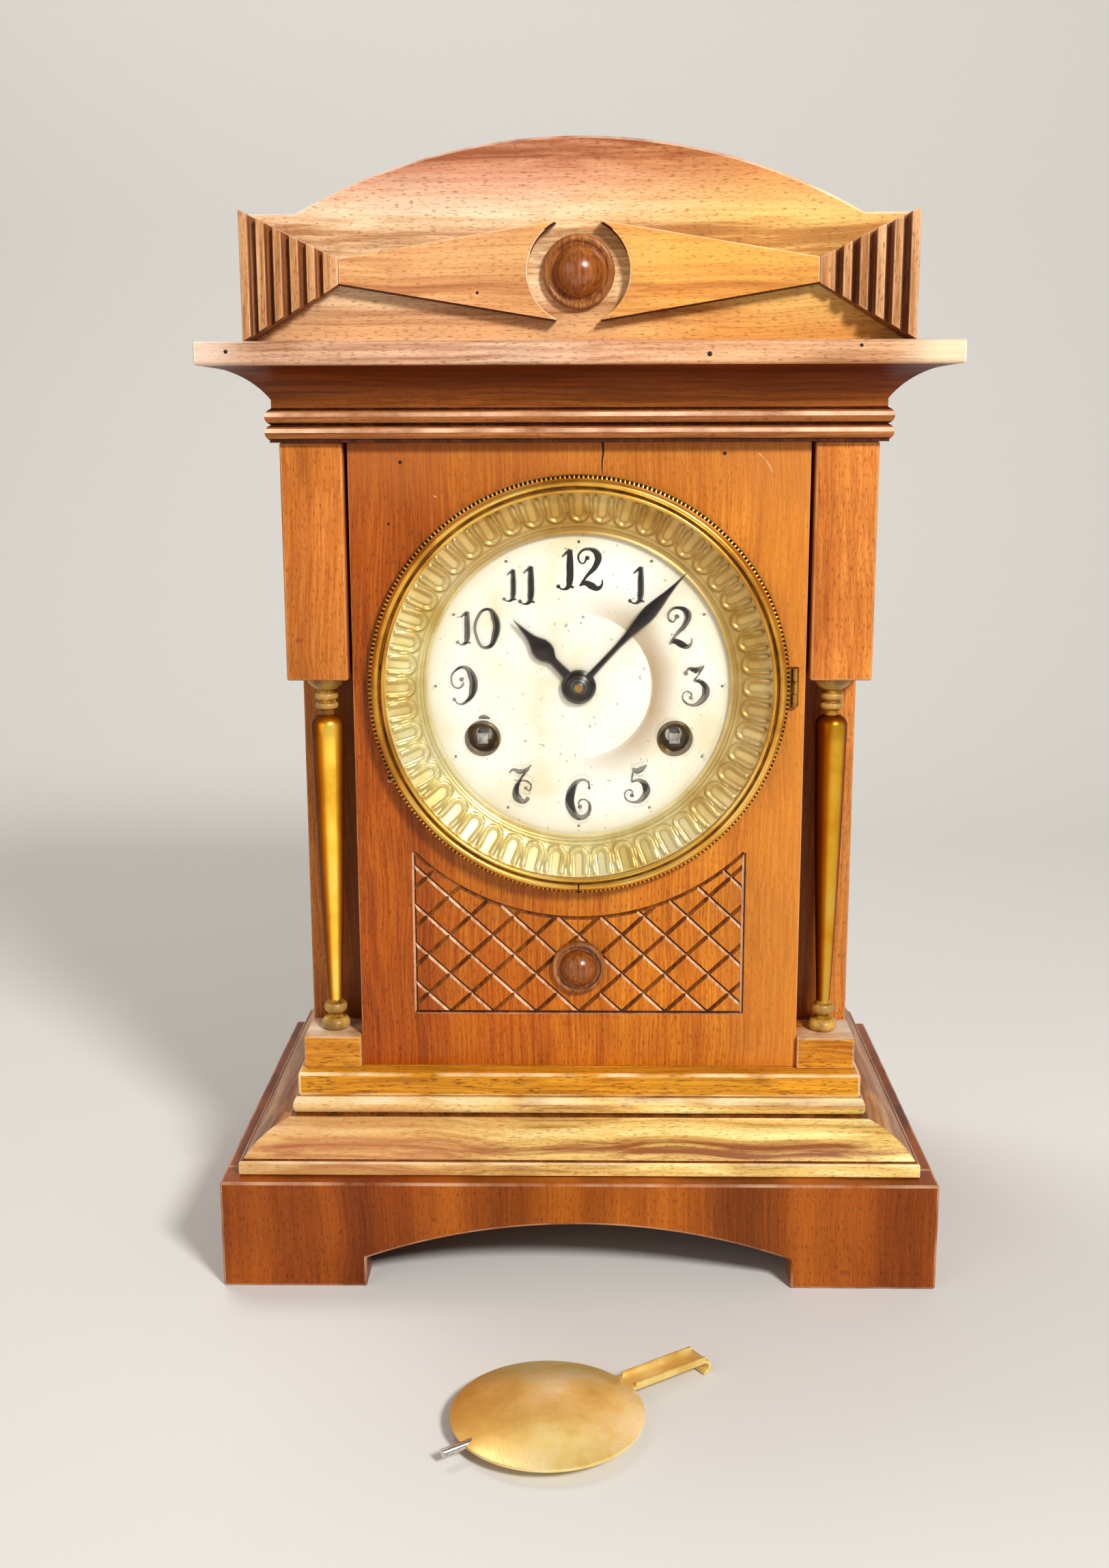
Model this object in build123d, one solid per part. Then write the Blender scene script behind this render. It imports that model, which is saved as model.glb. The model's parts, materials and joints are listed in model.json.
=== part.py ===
from build123d import *
import math
import os

# Mantel clock with columns, cornice and arched pediment. Millimetres, +Z up, front towards -Y.
# Origin: middle of the rectangle that the plinth stands on.

# Plinth
plinth_width = 257.5
plinth_depth = 172.0
plinth_height = 40.0
plinth_board = 14.0
arch_width = 153.0
arch_spring = 11.0
arch_crown = 24.4

# Base moulding and base board
fillet_inset = 3.0
fillet_height = 5.5
ovolo_inset = 4.5
ovolo_run = 16.5
ovolo_height = 11.0
base_bead_height = 6.5
base_bead_bulge = 1.2
base_moulding_depth = 34.0
base_board_inset = 25.1
base_board_thickness = 9.0

# Case body
case_width = 203.2
case_height = 228.0
side_thickness = 8.0
panel_inset = 21.1
panel_thickness = 8.0
panel_setback = 33.5
notch_depth = 20.5
post_thickness = 8.0
panel_hole_radius = 66.0

# Columns with their pedestals and blocks
column_inset = 10.4
column_setback = 41.7
column_height = 133.0
pedestal_size = 21.4
pedestal_height = 12.0
block_width = 21.8
block_shift = 1.5
block_setback = 31.0
cap_radius = 6.6
torus_radius = 5.4
collar_radius = 4.3
neck_radius = 2.7
neck_ring_radius = 4.2
shaft_radius = 5.8
shaft_foot_radius = 2.5
shaft_swell = 0.35

# Cornice
cornice_bead = 4.0
cornice_bead_seat = 2.6
cornice_bead_height = 5.4
cornice_quirk = 0.6
cornice_fillet = 1.9
cornice_fillet_height = 3.0
cove_reach = 19.4
cove_height = 10.8
cornice_depth = 14.0
slab_width = 254.0
slab_setback = 7.5
slab_thickness = 7.8
slab_rounding = 1.56

# Pediment
pediment_setback = 30.0
pediment_thickness = 14.0
pediment_width = 224.0
shoulder_height = 42.4
arc_width = 191.0
pediment_height = 67.0
flute_count = 6
flute_pitch = 5.25
flute_gap = 2.2
flute_sink = 4.2
flute_proud_outer = 14.0
flute_proud_tip = 5.5
flute_tip_half = 4.3
bow_half_gap = 7.5
bow_half_height = 16.3
bow_thickness = 5.5
rosette_height = 23.2
rosette_clear = 17.2
pediment_boss_radius = 12.2
pediment_boss_dome = 8.7
lattice_boss_radius = 9.8
lattice_boss_dome = 7.0
lattice_boss_height = 110.8
boss_rim = 3.0

# Bezel, glass and dial
dial_centre_height = 214.4
bezel_radius = 75.0
bezel_bore = 69.0
bezel_lip = 1.6
bezel_height = 8.0
rope_height = 2.8
bezel_gap = 0.3
glass_rise = 6.3
glass_thickness = 1.8
sight_radius = 54.0
sight_thickness = 0.8
dial_radius = 63.0
dial_setback = 2.5
dial_thickness = 0.8
winding_spacing = 69.0
winding_drop = 19.0
grommet_radius = 6.5
grommet_bore = 4.4
grommet_wall = 0.8
grommet_rim = 0.9
minute_hand_length = 55.2
hour_hand_length = 33.2
minute_hand_angle = 43.0
hour_hand_angle = -44.0
hand_thickness = 0.7
minute_lozenge = 36.0
hour_lozenge = 18.4
minute_shoulder = 10.0
hour_shoulder = 5.6
minute_hand_width = 5.2
hour_hand_width = 7.4
minute_hub_radius = 4.6
hour_hub_radius = 6.0

# Movement frame
plate_thickness = 1.6
plate_gap = 36.0
dial_gap = 9.2
plate_half_width = 50.0
plate_top = 58.0
plate_shoulder = 32.0
plate_foot_half = 26.0
plate_bottom = 58.0
bracket_half = 5.0
strap_thickness = 1.6
strap_foot = 8.0
strap_lap = 8.0
pillar_radius = 3.0
top_pillar_x = 44.0
bottom_pillar_x = 20.0
pillar_inset = 6.0
arbor_radius = 1.25
centre_arbor_radius = 1.5
centre_tail_radius = 1.0
pivot_radius = 0.7
winding_arbor_radius = 3.0
winding_pivot_radius = 2.0
winding_square = 3.8
running_clearance = 0.05

# Teeth, as shares of the module
wheel_tip = 1.2
wheel_root = 1.5
wheel_root_half = 1.15
leaf_tip = 0.6
leaf_root = 1.6
leaf_tip_half = 0.32
leaf_root_half = 0.6

# Going train: great wheel, second wheel, centre wheel, third wheel, escape wheel
pinion_leaves = 8
great_teeth = 64
great_module = 0.75
second_teeth = 56
second_module = 0.75
centre_teeth = 80
centre_module = 0.5
third_teeth = 80
third_module = 0.5
third_bearing = 55.0
escape_teeth = 45
escape_radius = 12.5
escape_depth = 1.7
escape_thickness = 1.2

# Striking train: great wheel, pin wheel, locking wheel, fly
strike_great_teeth = 78
strike_great_module = 0.68
strike_bearing = 80.0
pin_teeth = 64
pin_module = 0.55
pin_bearing = 95.0
locking_teeth = 56
locking_module = 0.5
locking_bearing = 40.0
lifting_pins = 8
lifting_pin_circle = 13.0
lifting_pin_radius = 0.7
fly_half_width = 9.0
fly_length = 13.0

# Motion work
cannon_teeth = 12
minute_teeth = 36
minute_leaves = 10
hour_teeth = 40
motion_module = 0.6
stud_radius = 1.0
stud_length = 7.4
minute_wheel_level = 2.8
minute_pinion_level = 7.0
hour_wheel_level = 6.4

# Wheel levels behind the front plate
wheel_thickness = 1.4
great_thickness = 2.2
motion_thickness = 1.2
level_second = 3.4
level_centre = 7.0
level_locking = 12.0
level_spring = 11.0
level_ratchet = 27.0
level_third = 27.2
level_great = 30.0
level_escape = 32.6
pinion_overlap = 1.2

# Mainsprings and ratchets
spring_turns = 4
spring_inner = 5.4
spring_pitch = 3.9
spring_strip = 0.6
spring_width = 15.0
ratchet_teeth = 18
ratchet_radius = 10.5
count_radius = 18.0
count_notch = 3.0
count_thickness = 1.2

# Escapement and pendulum
pallet_span = 84.0
pallet_clearance = 1.15
crutch_length = 33.0
leader_length = 96.0
leader_radius = 1.0
pendulum_offset = 6.8

# Gong and hammer
gong_wire = 3.0
gong_turns = 4
gong_pitch = 6.0
gong_radius = 38.0
gong_height = 117.0
gong_level = 9.2
gong_gap = 0.9
gong_arm_lap = 3.5
gong_arm_height = 6.0
gong_post_depth = 8.0
gong_foot_half = 22.0
gong_foot_height = 7.0
hammer_x = 46.5
hammer_z = 22.0
hammer_head_radius = 4.5
hammer_head_length = 10.0
hammer_rod_radius = 1.0
hammer_bend = 6.0

# Back door
door_thickness = 8.0
door_gap = 0.5
hinge_height = 26.0
hinge_spread = 150.0
knuckle_radius = 2.0
hinge_pin_radius = 0.9
hinge_leaf = 1.0
hinge_leaf_width = 7.8
knuckle_gap = 0.3
button_length = 24.0
button_width = 7.0
button_thickness = 2.5

# Bezel hinge
bezel_hinge_height = 14.0
bezel_knuckle = 1.2
bezel_pin = 0.6
bezel_lug = 0.8
bezel_knuckle_gap = 0.2

# Pendulum bob lying in front of the clock
bob_radius = 30.4
bob_x = -9.2
bob_y = -175.2
bob_angle = 35.0
bob_crown = 4.6
bob_belly = 4.2
bob_rim = 0.9
hook_reach = 62.0
hook_width = 8.6
hook_sheet = 1.0
hook_roll = 1.9
bob_rod_radius = 1.3
bob_rod_reach = 38.0

# Straight rings that stand for a round dome
dome_rings = 5

# Places worked out from the sizes above
front = -plinth_depth / 2
back = plinth_depth / 2
half_plinth = plinth_width / 2
base_moulding_top = plinth_height + fillet_height + ovolo_height + base_bead_height
case_bottom = base_moulding_top + base_board_thickness
case_top = case_bottom + case_height
half_case = case_width / 2
half_panel = half_case - panel_inset
panel_front = front + panel_setback
panel_back = panel_front + panel_thickness
notch_back = panel_front + notch_depth
column_x = half_case - column_inset
column_y = front + column_setback
column_foot = case_bottom + pedestal_height
column_head = column_foot + column_height
block_outer = column_x + block_shift + block_width / 2
block_front = front + block_setback
cornice_height = 2 * cornice_bead_height + cornice_quirk + cornice_fillet_height + cove_height
slab_bottom = case_top + cornice_height
slab_top = slab_bottom + slab_thickness
pediment_front = front + pediment_setback
dial_front = panel_front + dial_setback
plate_front = dial_front + dial_thickness + dial_gap
train_front = plate_front + plate_thickness
train_back = train_front + plate_gap
movement_back = train_back + plate_thickness
zc = dial_centre_height


# Shared shapes
def board(x0, x1, y0, y1, z0, z1):
    return Pos((x0 + x1) / 2, (y0 + y1) / 2, (z0 + z1) / 2) * Box(x1 - x0, y1 - y0, z1 - z0)


def outline(points):
    return make_face(Polyline(*points, close=True))


def plate(sketch, y_front, thickness):
    return extrude(Plane.XZ.offset(-(y_front + thickness)) * sketch, thickness)


def rod_y(x, z, y0, y1, radius):
    base = Plane(origin=(x, y0, z), x_dir=(1, 0, 0), z_dir=(0, 1, 0))
    return base * Cylinder(radius, y1 - y0, align=(Align.CENTER, Align.CENTER, Align.MIN))


def rod_z(x, y, z0, z1, radius):
    return Pos(x, y, z0) * Cylinder(radius, z1 - z0, align=(Align.CENTER, Align.CENTER, Align.MIN))


def turned_y(face, x, z):
    return Pos(x, 0, z) * revolve(face, Axis.Y)


def dome_line(radius, edge, crown):
    """Round dome about the turning axis, from its edge to its crown, as a few straight rings."""
    rise = crown - edge
    size = (radius * radius + rise * rise) / (2 * abs(rise))
    spread = math.asin(radius / size)
    points = [(radius, edge)]
    for ring in range(dome_rings - 1, 0, -1):
        turn = spread * ring / dome_rings
        points.append((size * math.sin(turn), crown - math.copysign(size * (1 - math.cos(turn)), rise)))
    points.append((0, crown))
    return Polyline(*points)


def faceted(curve, runs):
    """The same curve as straight runs, which turns into few faces."""
    return Polyline(*[curve @ (run / runs) for run in range(runs + 1)])


def mirrored(shape):
    return mirror(shape, Plane.YZ)


def both_sides(shape):
    return Compound(children=[shape, mirrored(shape)])


def polar(radius, degrees):
    angle = math.radians(degrees)
    return (radius * math.cos(angle), radius * math.sin(angle))


def mitred_strips(profile, half_width, y_front, depth):
    """Front, right and left strips of a moulding. Its profile is drawn as (way in from the outer face, z)."""
    ahead = Plane(origin=(-half_width, y_front, 0), x_dir=(0, 1, 0), z_dir=(1, 0, 0))
    aside = Plane(origin=(half_width, y_front, 0), x_dir=(-1, 0, 0), z_dir=(0, 1, 0))
    inner = half_width - depth
    front_plan = outline([
        (-half_width, y_front), (half_width, y_front), (inner, y_front + depth), (-inner, y_front + depth)])
    side_plan = outline([
        (half_width, y_front), (half_width, back), (inner, back), (inner, y_front + depth)])
    tall = 2 * slab_top
    front_strip = extrude(ahead * profile, 2 * half_width) & extrude(front_plan, tall)
    right_strip = extrude(aside * profile, back - y_front) & extrude(side_plan, tall)
    return front_strip, right_strip, mirrored(right_strip)


# Plinth
def plinth_nodes():
    half_arch = arch_width / 2
    edge = [(-half_plinth, 0), (-half_plinth, plinth_height), (half_plinth, plinth_height), (half_plinth, 0),
            (half_arch, 0), (half_arch, arch_spring)]
    face = make_face(
        Polyline(*edge)
        + ThreePointArc((half_arch, arch_spring), (0, arch_crown), (-half_arch, arch_spring))
        + Polyline((-half_arch, arch_spring), (-half_arch, 0), (-half_plinth, 0)))
    inside = half_plinth - plinth_board
    side = board(inside, half_plinth, front + plinth_board, back, 0, plinth_height)
    rail = board(-inside, inside, back - plinth_board, back, 0, plinth_height)
    upper = half_plinth - base_moulding_depth
    rail += board(-upper, upper, back - plinth_board, back, plinth_height, base_moulding_top)
    return {"plinth_front": plate(face, front, plinth_board),
            "plinth_sides": both_sides(side),
            "plinth_back": rail}


def base_nodes():
    z1 = plinth_height + fillet_height
    z2 = z1 + ovolo_height
    bead_in = ovolo_inset + ovolo_run + 0.6
    ovolo_end = (ovolo_inset + ovolo_run, z2)
    ovolo_mid = (ovolo_inset + 0.45 * ovolo_run, z1 + 0.7 * ovolo_height)
    profile = make_face(
        Polyline((base_moulding_depth, plinth_height), (fillet_inset, plinth_height), (fillet_inset, z1),
                 (ovolo_inset, z1))
        + ThreePointArc((ovolo_inset, z1), ovolo_mid, ovolo_end)
        + Line(ovolo_end, (bead_in, z2))
        + ThreePointArc((bead_in, z2), (bead_in - base_bead_bulge, z2 + base_bead_height / 2),
                        (bead_in, base_moulding_top))
        + Polyline((bead_in, base_moulding_top), (base_moulding_depth, base_moulding_top),
                   (base_moulding_depth, plinth_height)))
    ahead, right, left = mitred_strips(profile, half_plinth, front, base_moulding_depth)
    half = half_plinth - base_board_inset
    step = board(-half, half, front + base_board_inset, back, base_moulding_top, case_bottom)
    return {"base_moulding": Compound(children=[ahead, right, left]), "base_board": step}


# Case body
def case_nodes():
    panel = board(-half_panel, half_panel, panel_front, panel_back, case_bottom, case_top)
    panel -= rod_y(0, zc, panel_front, panel_back, panel_hole_radius)
    panel -= board(bezel_bore, bezel_axis_x + bezel_knuckle + 0.2, panel_front, panel_front + hinge_leaf,
                   zc - bezel_hinge_height / 2, zc + bezel_hinge_height / 2)
    inner = half_case - side_thickness
    side = board(inner, half_case, notch_back, back, case_bottom, case_top)
    cheek = half_panel - post_thickness
    post_plan = outline([(cheek, panel_back), (half_panel, panel_back), (half_panel, notch_back),
                         (inner, notch_back), (inner, notch_back + post_thickness),
                         (cheek, notch_back + post_thickness)])
    post = extrude(Pos(0, 0, case_bottom) * post_plan, case_height)
    block = board(block_outer - block_width, block_outer, block_front, notch_back, column_head, case_top)
    half_ped = pedestal_size / 2
    pedestal = board(column_x - half_ped, column_x + half_ped, column_y - half_ped, column_y + half_ped,
                     case_bottom, column_foot)
    cornice_inner = block_outer - cornice_depth
    top = board(-cornice_inner, cornice_inner, block_front + cornice_depth, back, case_top, slab_bottom)
    return {"front_panel": panel,
            "side_panels": both_sides(side),
            "corner_posts": both_sides(post),
            "corner_blocks": both_sides(block),
            "pedestals": both_sides(pedestal),
            "top_board": top}


def column_nodes():
    """Turned columns: a base, a collar, a shaft that widens upwards, and two neck rings under the cap."""
    h = column_height
    foot, top = 11.4, h - 17.0
    shaft = []
    for share in (0.0, 0.25, 0.5, 0.75, 1.0):
        swelling = shaft_swell * math.sin(math.pi * share)
        radius = shaft_foot_radius + (shaft_radius - shaft_foot_radius) * share + swelling
        shaft.append((radius, foot + (top - foot) * share))
    base = faceted(ThreePointArc((torus_radius - 1.0, 0), (torus_radius, 2.2), (torus_radius - 1.6, 4.6)), 4)
    collar_arc = ThreePointArc((collar_radius - 0.9, 6.4), (collar_radius, 8.4), (collar_radius - 0.9, 10.4))
    collar = faceted(collar_arc, 3)
    profile = make_face(
        Line((0, 0), base @ 0) + base
        + Polyline(base @ 1, (shaft_foot_radius, 5.4), collar @ 0) + collar
        + Polyline(collar @ 1, *shaft, (shaft_radius - 0.8, h - 15.2), (neck_radius, h - 13.6),
                   (neck_radius, h - 12.0), (neck_ring_radius, h - 11.5), (neck_ring_radius, h - 9.1),
                   (neck_radius + 0.6, h - 8.6), (neck_ring_radius, h - 8.1), (neck_ring_radius, h - 5.6),
                   (neck_radius + 0.7, h - 4.6), (cap_radius - 0.9, h - 3.0), (cap_radius, h - 1.7),
                   (cap_radius, h), (0, h), (0, 0)))
    stand = Plane(origin=(column_x, column_y, column_foot), x_dir=(1, 0, 0), z_dir=(0, -1, 0))
    column = revolve(stand * profile, Axis((column_x, column_y, column_foot), (0, 0, 1)))
    return {"columns": both_sides(column)}


# Cornice and pediment
def cornice_nodes():
    def inward(reach, z):
        return (cove_top - reach, z)

    cove_top = cornice_fillet + cove_reach
    z0 = case_top
    z1 = z0 + cornice_quirk
    z2 = z1 + cornice_bead_height
    z3 = z2 + cornice_bead_height
    z4 = z3 + cornice_fillet_height
    z5 = slab_bottom
    inner = cove_top + cornice_depth
    profile = make_face(
        Polyline((inner, z0), inward(cornice_bead_seat, z0), inward(cornice_bead_seat, z1))
        + ThreePointArc(inward(cornice_bead_seat, z1), inward(cornice_bead, (z1 + z2) / 2),
                        inward(cornice_bead_seat, z2))
        + ThreePointArc(inward(cornice_bead_seat, z2), inward(cornice_bead, (z2 + z3) / 2),
                        inward(cornice_bead_seat, z3))
        + Polyline(inward(cornice_bead_seat, z3), inward(cornice_fillet, z3), inward(cornice_fillet, z4))
        + ThreePointArc(inward(cornice_fillet, z4),
                        inward(cornice_fillet + 0.29 * cove_reach, z4 + 0.54 * cove_height),
                        inward(cove_top, z5))
        + Polyline(inward(cove_top, z5), (inner, z5), (inner, z0)))
    half = block_outer + cove_top
    ahead, right, left = mitred_strips(profile, half, block_front - cove_top, inner)
    half_slab = slab_width / 2
    slab = board(-half_slab, half_slab, front + slab_setback, back, slab_bottom, slab_top)
    long_edges = slab.edges().filter_by(Axis.X).group_by(Axis.Y)[0]
    slab = fillet(long_edges, slab_rounding)
    return {"cornice_moulding": Compound(children=[ahead, right, left]), "cornice_slab": slab}


def fluted_block():
    """Tapered corner block whose vertical reeds step down towards the middle of the pediment."""
    outer = pediment_width / 2
    drop = (flute_proud_outer - flute_proud_tip) / (flute_count - 1)
    face = pediment_front - flute_proud_outer
    plan = [(outer, pediment_front), (outer, face)]
    for reed in range(flute_count):
        near = outer - reed * flute_pitch
        far = near - flute_pitch
        level = face + reed * drop
        plan.append((near, level))
        if reed < flute_count - 1:
            sunk = level + flute_sink
            plan += [(far + flute_gap, level), (far + flute_gap, sunk), (far, sunk)]
        else:
            plan.append((far, level))
    tip = outer - flute_count * flute_pitch
    plan.append((tip, pediment_front))
    middle = slab_top + rosette_height
    reeds = extrude(Pos(0, 0, slab_top) * outline(plan[:1] + plan[2:]), shoulder_height)
    view = outline([(tip, middle - flute_tip_half), (outer, slab_top), (outer, slab_top + shoulder_height),
                    (tip, middle + flute_tip_half)])
    return reeds & plate(view, front, plinth_depth)


def bow_overlay():
    tip = pediment_width / 2 - flute_count * flute_pitch
    middle = slab_top + rosette_height
    shape = outline([(tip, middle - flute_tip_half), (tip, middle + flute_tip_half),
                     (bow_half_gap, middle + bow_half_height), (bow_half_gap, middle - bow_half_height)])
    shape -= Pos(0, middle) * Circle(rosette_clear)
    return plate(shape, pediment_front - bow_thickness, bow_thickness)


def boss(radius, dome, y, z):
    """Turned boss: a rounded rim, a groove and a dome."""
    seat = dome + 0.12 * radius
    face = make_face(
        Polyline((0, y), (radius, y), (radius, y - 0.6 * boss_rim), (radius - 0.6, y - boss_rim),
                 (radius - 1.6, y - boss_rim), (seat, y - 0.7 * boss_rim), (dome, y - 0.7 * boss_rim))
        + dome_line(dome, y - 0.7 * boss_rim, y - boss_rim - 0.66 * dome)
        + Line((0, y - boss_rim - 0.66 * dome), (0, y)))
    return turned_y(face, 0, z)


def pediment_nodes():
    half = pediment_width / 2
    half_arc = arc_width / 2
    shoulder = slab_top + shoulder_height
    crown = slab_top + pediment_height
    view = make_face(
        Polyline((-half_arc, shoulder), (-half, shoulder), (-half, slab_top), (half, slab_top),
                 (half, shoulder), (half_arc, shoulder))
        + ThreePointArc((half_arc, shoulder), (0, crown), (-half_arc, shoulder)))
    block = fluted_block()
    bow = bow_overlay()
    middle = slab_top + rosette_height
    return {"pediment_board": plate(view, pediment_front, pediment_thickness),
            "fluted_blocks": both_sides(block),
            "bow_overlays": both_sides(bow),
            "pediment_boss": boss(pediment_boss_radius, pediment_boss_dome, pediment_front, middle),
            "lattice_boss": boss(lattice_boss_radius, lattice_boss_dome, panel_front, lattice_boss_height)}


# Bezel, glass and dial
bezel_back = panel_front - bezel_gap
bezel_front = bezel_back - bezel_height
lip_back = bezel_front + 1.1
bezel_axis_x = bezel_radius + bezel_knuckle + 0.4
bezel_axis_y = panel_front - bezel_knuckle - 0.2


def bezel_nodes():
    lip = bezel_bore - bezel_lip
    rope = bezel_back - rope_height
    ring = make_face(
        Polyline((bezel_bore, bezel_back), (bezel_radius, bezel_back), (bezel_radius, rope),
                 (bezel_radius - 1.8, rope - 0.8))
        + faceted(ThreePointArc((bezel_radius - 1.8, rope - 0.8), (bezel_radius - 2.9, bezel_front + 1.3),
                                (bezel_bore + 0.4, bezel_front)), 4)
        + Polyline((bezel_bore + 0.4, bezel_front), (lip, bezel_front), (lip, lip_back),
                   (bezel_bore, lip_back), (bezel_bore, bezel_back)))
    bezel = turned_y(ring, 0, zc)
    third = bezel_hinge_height / 3
    lug_low = zc - third / 2 + bezel_knuckle_gap
    lug_high = zc + third / 2 - bezel_knuckle_gap
    lug_front = bezel_axis_y - bezel_knuckle
    lug = board(bezel_bore + 1.0, bezel_axis_x, lug_front, lug_front + bezel_lug, lug_low, lug_high)
    lug += rod_z(bezel_axis_x, bezel_axis_y, lug_low, lug_high, bezel_knuckle)
    bezel += lug
    bezel -= rod_z(bezel_axis_x, bezel_axis_y, zc - third, zc + third, bezel_pin + running_clearance)

    edge = bezel_bore - 0.2
    seat = lip - 0.6
    crown = lip_back - glass_rise
    inner = lip_back + glass_thickness
    pane = make_face(
        dome_line(seat, lip_back, crown)
        + Polyline((seat, lip_back), (edge, lip_back), (edge, inner), (seat - 0.4, inner))
        + dome_line(seat - 0.4, inner, crown + glass_thickness)
        + Line((0, crown + glass_thickness), (0, crown)))
    sight_back = dial_front - 0.5
    sight = outline([
        (sight_radius, sight_back - sight_thickness), (seat, inner), (edge, inner),
        (edge, inner + sight_thickness), (seat + 0.3, inner + sight_thickness),
        (sight_radius + 0.3, sight_back)])

    foot = zc - bezel_hinge_height / 2 + bezel_knuckle_gap
    head = zc + bezel_hinge_height / 2 - bezel_knuckle_gap
    outside = bezel_axis_x + bezel_knuckle
    leaf = board(bezel_bore + 0.4, outside, panel_front, panel_front + hinge_leaf, foot, head)
    fixed = rod_z(bezel_axis_x, bezel_axis_y, foot, head, bezel_pin)
    tall = third - 0.3
    for low in (foot, head - tall):
        fixed += rod_z(bezel_axis_x, bezel_axis_y, low, low + tall, bezel_knuckle)
        fixed += board(bezel_axis_x, outside, bezel_axis_y, panel_front, low, low + tall)
    return {"bezel": bezel,
            "bezel_glass": turned_y(pane, 0, zc),
            "sight_ring": turned_y(sight, 0, zc),
            "bezel_hinge": fixed + leaf}


winding_x = winding_spacing / 2
winding_z = zc - winding_drop
cannon_bore = centre_arbor_radius + 0.08
pipe_radius = 2.6
hour_hand_front = dial_front - 2.6
minute_hand_front = hour_hand_front - 2.0


def dial_nodes():
    hole = grommet_bore + grommet_wall
    disc = rod_y(0, zc, dial_front, dial_front + dial_thickness, dial_radius)
    disc -= rod_y(0, zc, dial_front, dial_front + dial_thickness, pipe_radius + 0.6)
    rim = dial_front - grommet_rim
    tail = dial_front + dial_thickness + 0.6
    collar = outline([(grommet_bore, rim), (grommet_radius - 0.5, rim), (grommet_radius, dial_front),
                      (hole, dial_front), (hole, tail), (grommet_bore, tail)])
    collars = []
    for x in (-winding_x, winding_x):
        disc -= rod_y(x, winding_z, dial_front, dial_front + dial_thickness, hole)
        collars.append(turned_y(collar, x, winding_z))
    for x in (-top_pillar_x + 10, top_pillar_x - 10):
        for z in (zc - 40, zc + 40):
            disc += rod_y(x, z, dial_front + dial_thickness, plate_front, 1.2)
    return {"dial": disc, "winding_grommets": Compound(children=collars)}


def hand(length, lozenge, shoulder, width, hub):
    """Spade hand drawn pointing up: round hub, slim stem, swelling and fine point."""
    stem = 0.2 * width
    low = (stem, lozenge - shoulder)
    high = (stem, lozenge + shoulder)
    widest = (width / 2, lozenge)
    right = Polyline((0, 0), (stem, 0), low)
    right += ThreePointArc(low, (0.38 * width, lozenge - 0.5 * shoulder), widest)
    right += ThreePointArc(widest, (0.38 * width, lozenge + 0.5 * shoulder), high)
    right += Line(high, (0, length))
    return make_face(right + mirror(right, Plane.YZ)) + Circle(hub)


def hand_nodes():
    minute = hand(minute_hand_length, minute_lozenge, minute_shoulder, minute_hand_width, minute_hub_radius)
    minute = Pos(0, zc) * Rot(0, 0, -minute_hand_angle) * minute - Pos(0, zc) * Circle(centre_arbor_radius)
    hour = hand(hour_hand_length, hour_lozenge, hour_shoulder, hour_hand_width, hour_hub_radius)
    hour = Pos(0, zc) * Rot(0, 0, -hour_hand_angle) * hour - Pos(0, zc) * Circle(pipe_radius)
    nut = rod_y(0, zc, minute_hand_front - 1.8, minute_hand_front, 2.4)
    nut -= rod_y(0, zc, minute_hand_front - 1.8, minute_hand_front, centre_arbor_radius)
    return {"minute_hand": plate(minute, minute_hand_front, hand_thickness),
            "hour_hand": plate(hour, hour_hand_front, hand_thickness),
            "hand_nut": nut}


# Wheels and pinions
def wheel_outline(teeth, module, phase):
    radius = teeth * module / 2
    points = []
    for tooth in range(teeth):
        middle = phase + 360 * tooth / teeth
        root = radius - wheel_root * module
        spread = math.degrees(wheel_root_half * module / root)
        points.append(polar(root, middle - spread))
        points.append(polar(radius + wheel_tip * module, middle))
        points.append(polar(root, middle + spread))
    return outline(points)


def pinion_outline(leaves, module, phase):
    radius = leaves * module / 2
    points = []
    for leaf in range(leaves):
        middle = phase + 360 * (leaf + 0.5) / leaves
        tip = radius + leaf_tip * module
        root = radius - leaf_root * module
        corners = ((root, -leaf_root_half), (tip, -leaf_tip_half),
                   (tip, leaf_tip_half), (root, leaf_root_half))
        for r, half in corners:
            points.append(polar(r, middle + math.degrees(half * module / r)))
    return outline(points)


def crossings(sketch, rim, hub, arms=4):
    """Openings between the arms of a wheel."""
    half = 1.3
    for arm in range(arms):
        turn = 360 * arm / arms
        spread_in = math.degrees(half / hub)
        spread_out = math.degrees(half / rim)
        step = 360 / arms
        corner = [polar(hub, turn + spread_in), polar(rim, turn + spread_out)]
        corner += [polar(rim, turn + step * share) for share in (0.33, 0.5, 0.67)]
        corner += [polar(rim, turn + step - spread_out), polar(hub, turn + step - spread_in)]
        sketch -= outline(corner)
    return sketch


def heading(start, end):
    return math.degrees(math.atan2(end[1] - start[1], end[0] - start[0]))


def step_from(start, distance, degrees):
    dx, dz = polar(distance, degrees)
    return (start[0] + dx, start[1] + dz)


def meeting(a, ra, b, rb):
    """The lower of the two points at ra from a and rb from b."""
    span = math.dist(a, b)
    along = (ra * ra - rb * rb + span * span) / (2 * span)
    across = math.sqrt(ra * ra - along * along)
    ux, uz = (b[0] - a[0]) / span, (b[1] - a[1]) / span
    options = []
    for side in (across, -across):
        options.append((a[0] + along * ux - side * uz, a[1] + along * uz + side * ux))
    return min(options, key=lambda p: p[1])


def mesh(teeth, leaves, module):
    return (teeth + leaves) * module / 2


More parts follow.
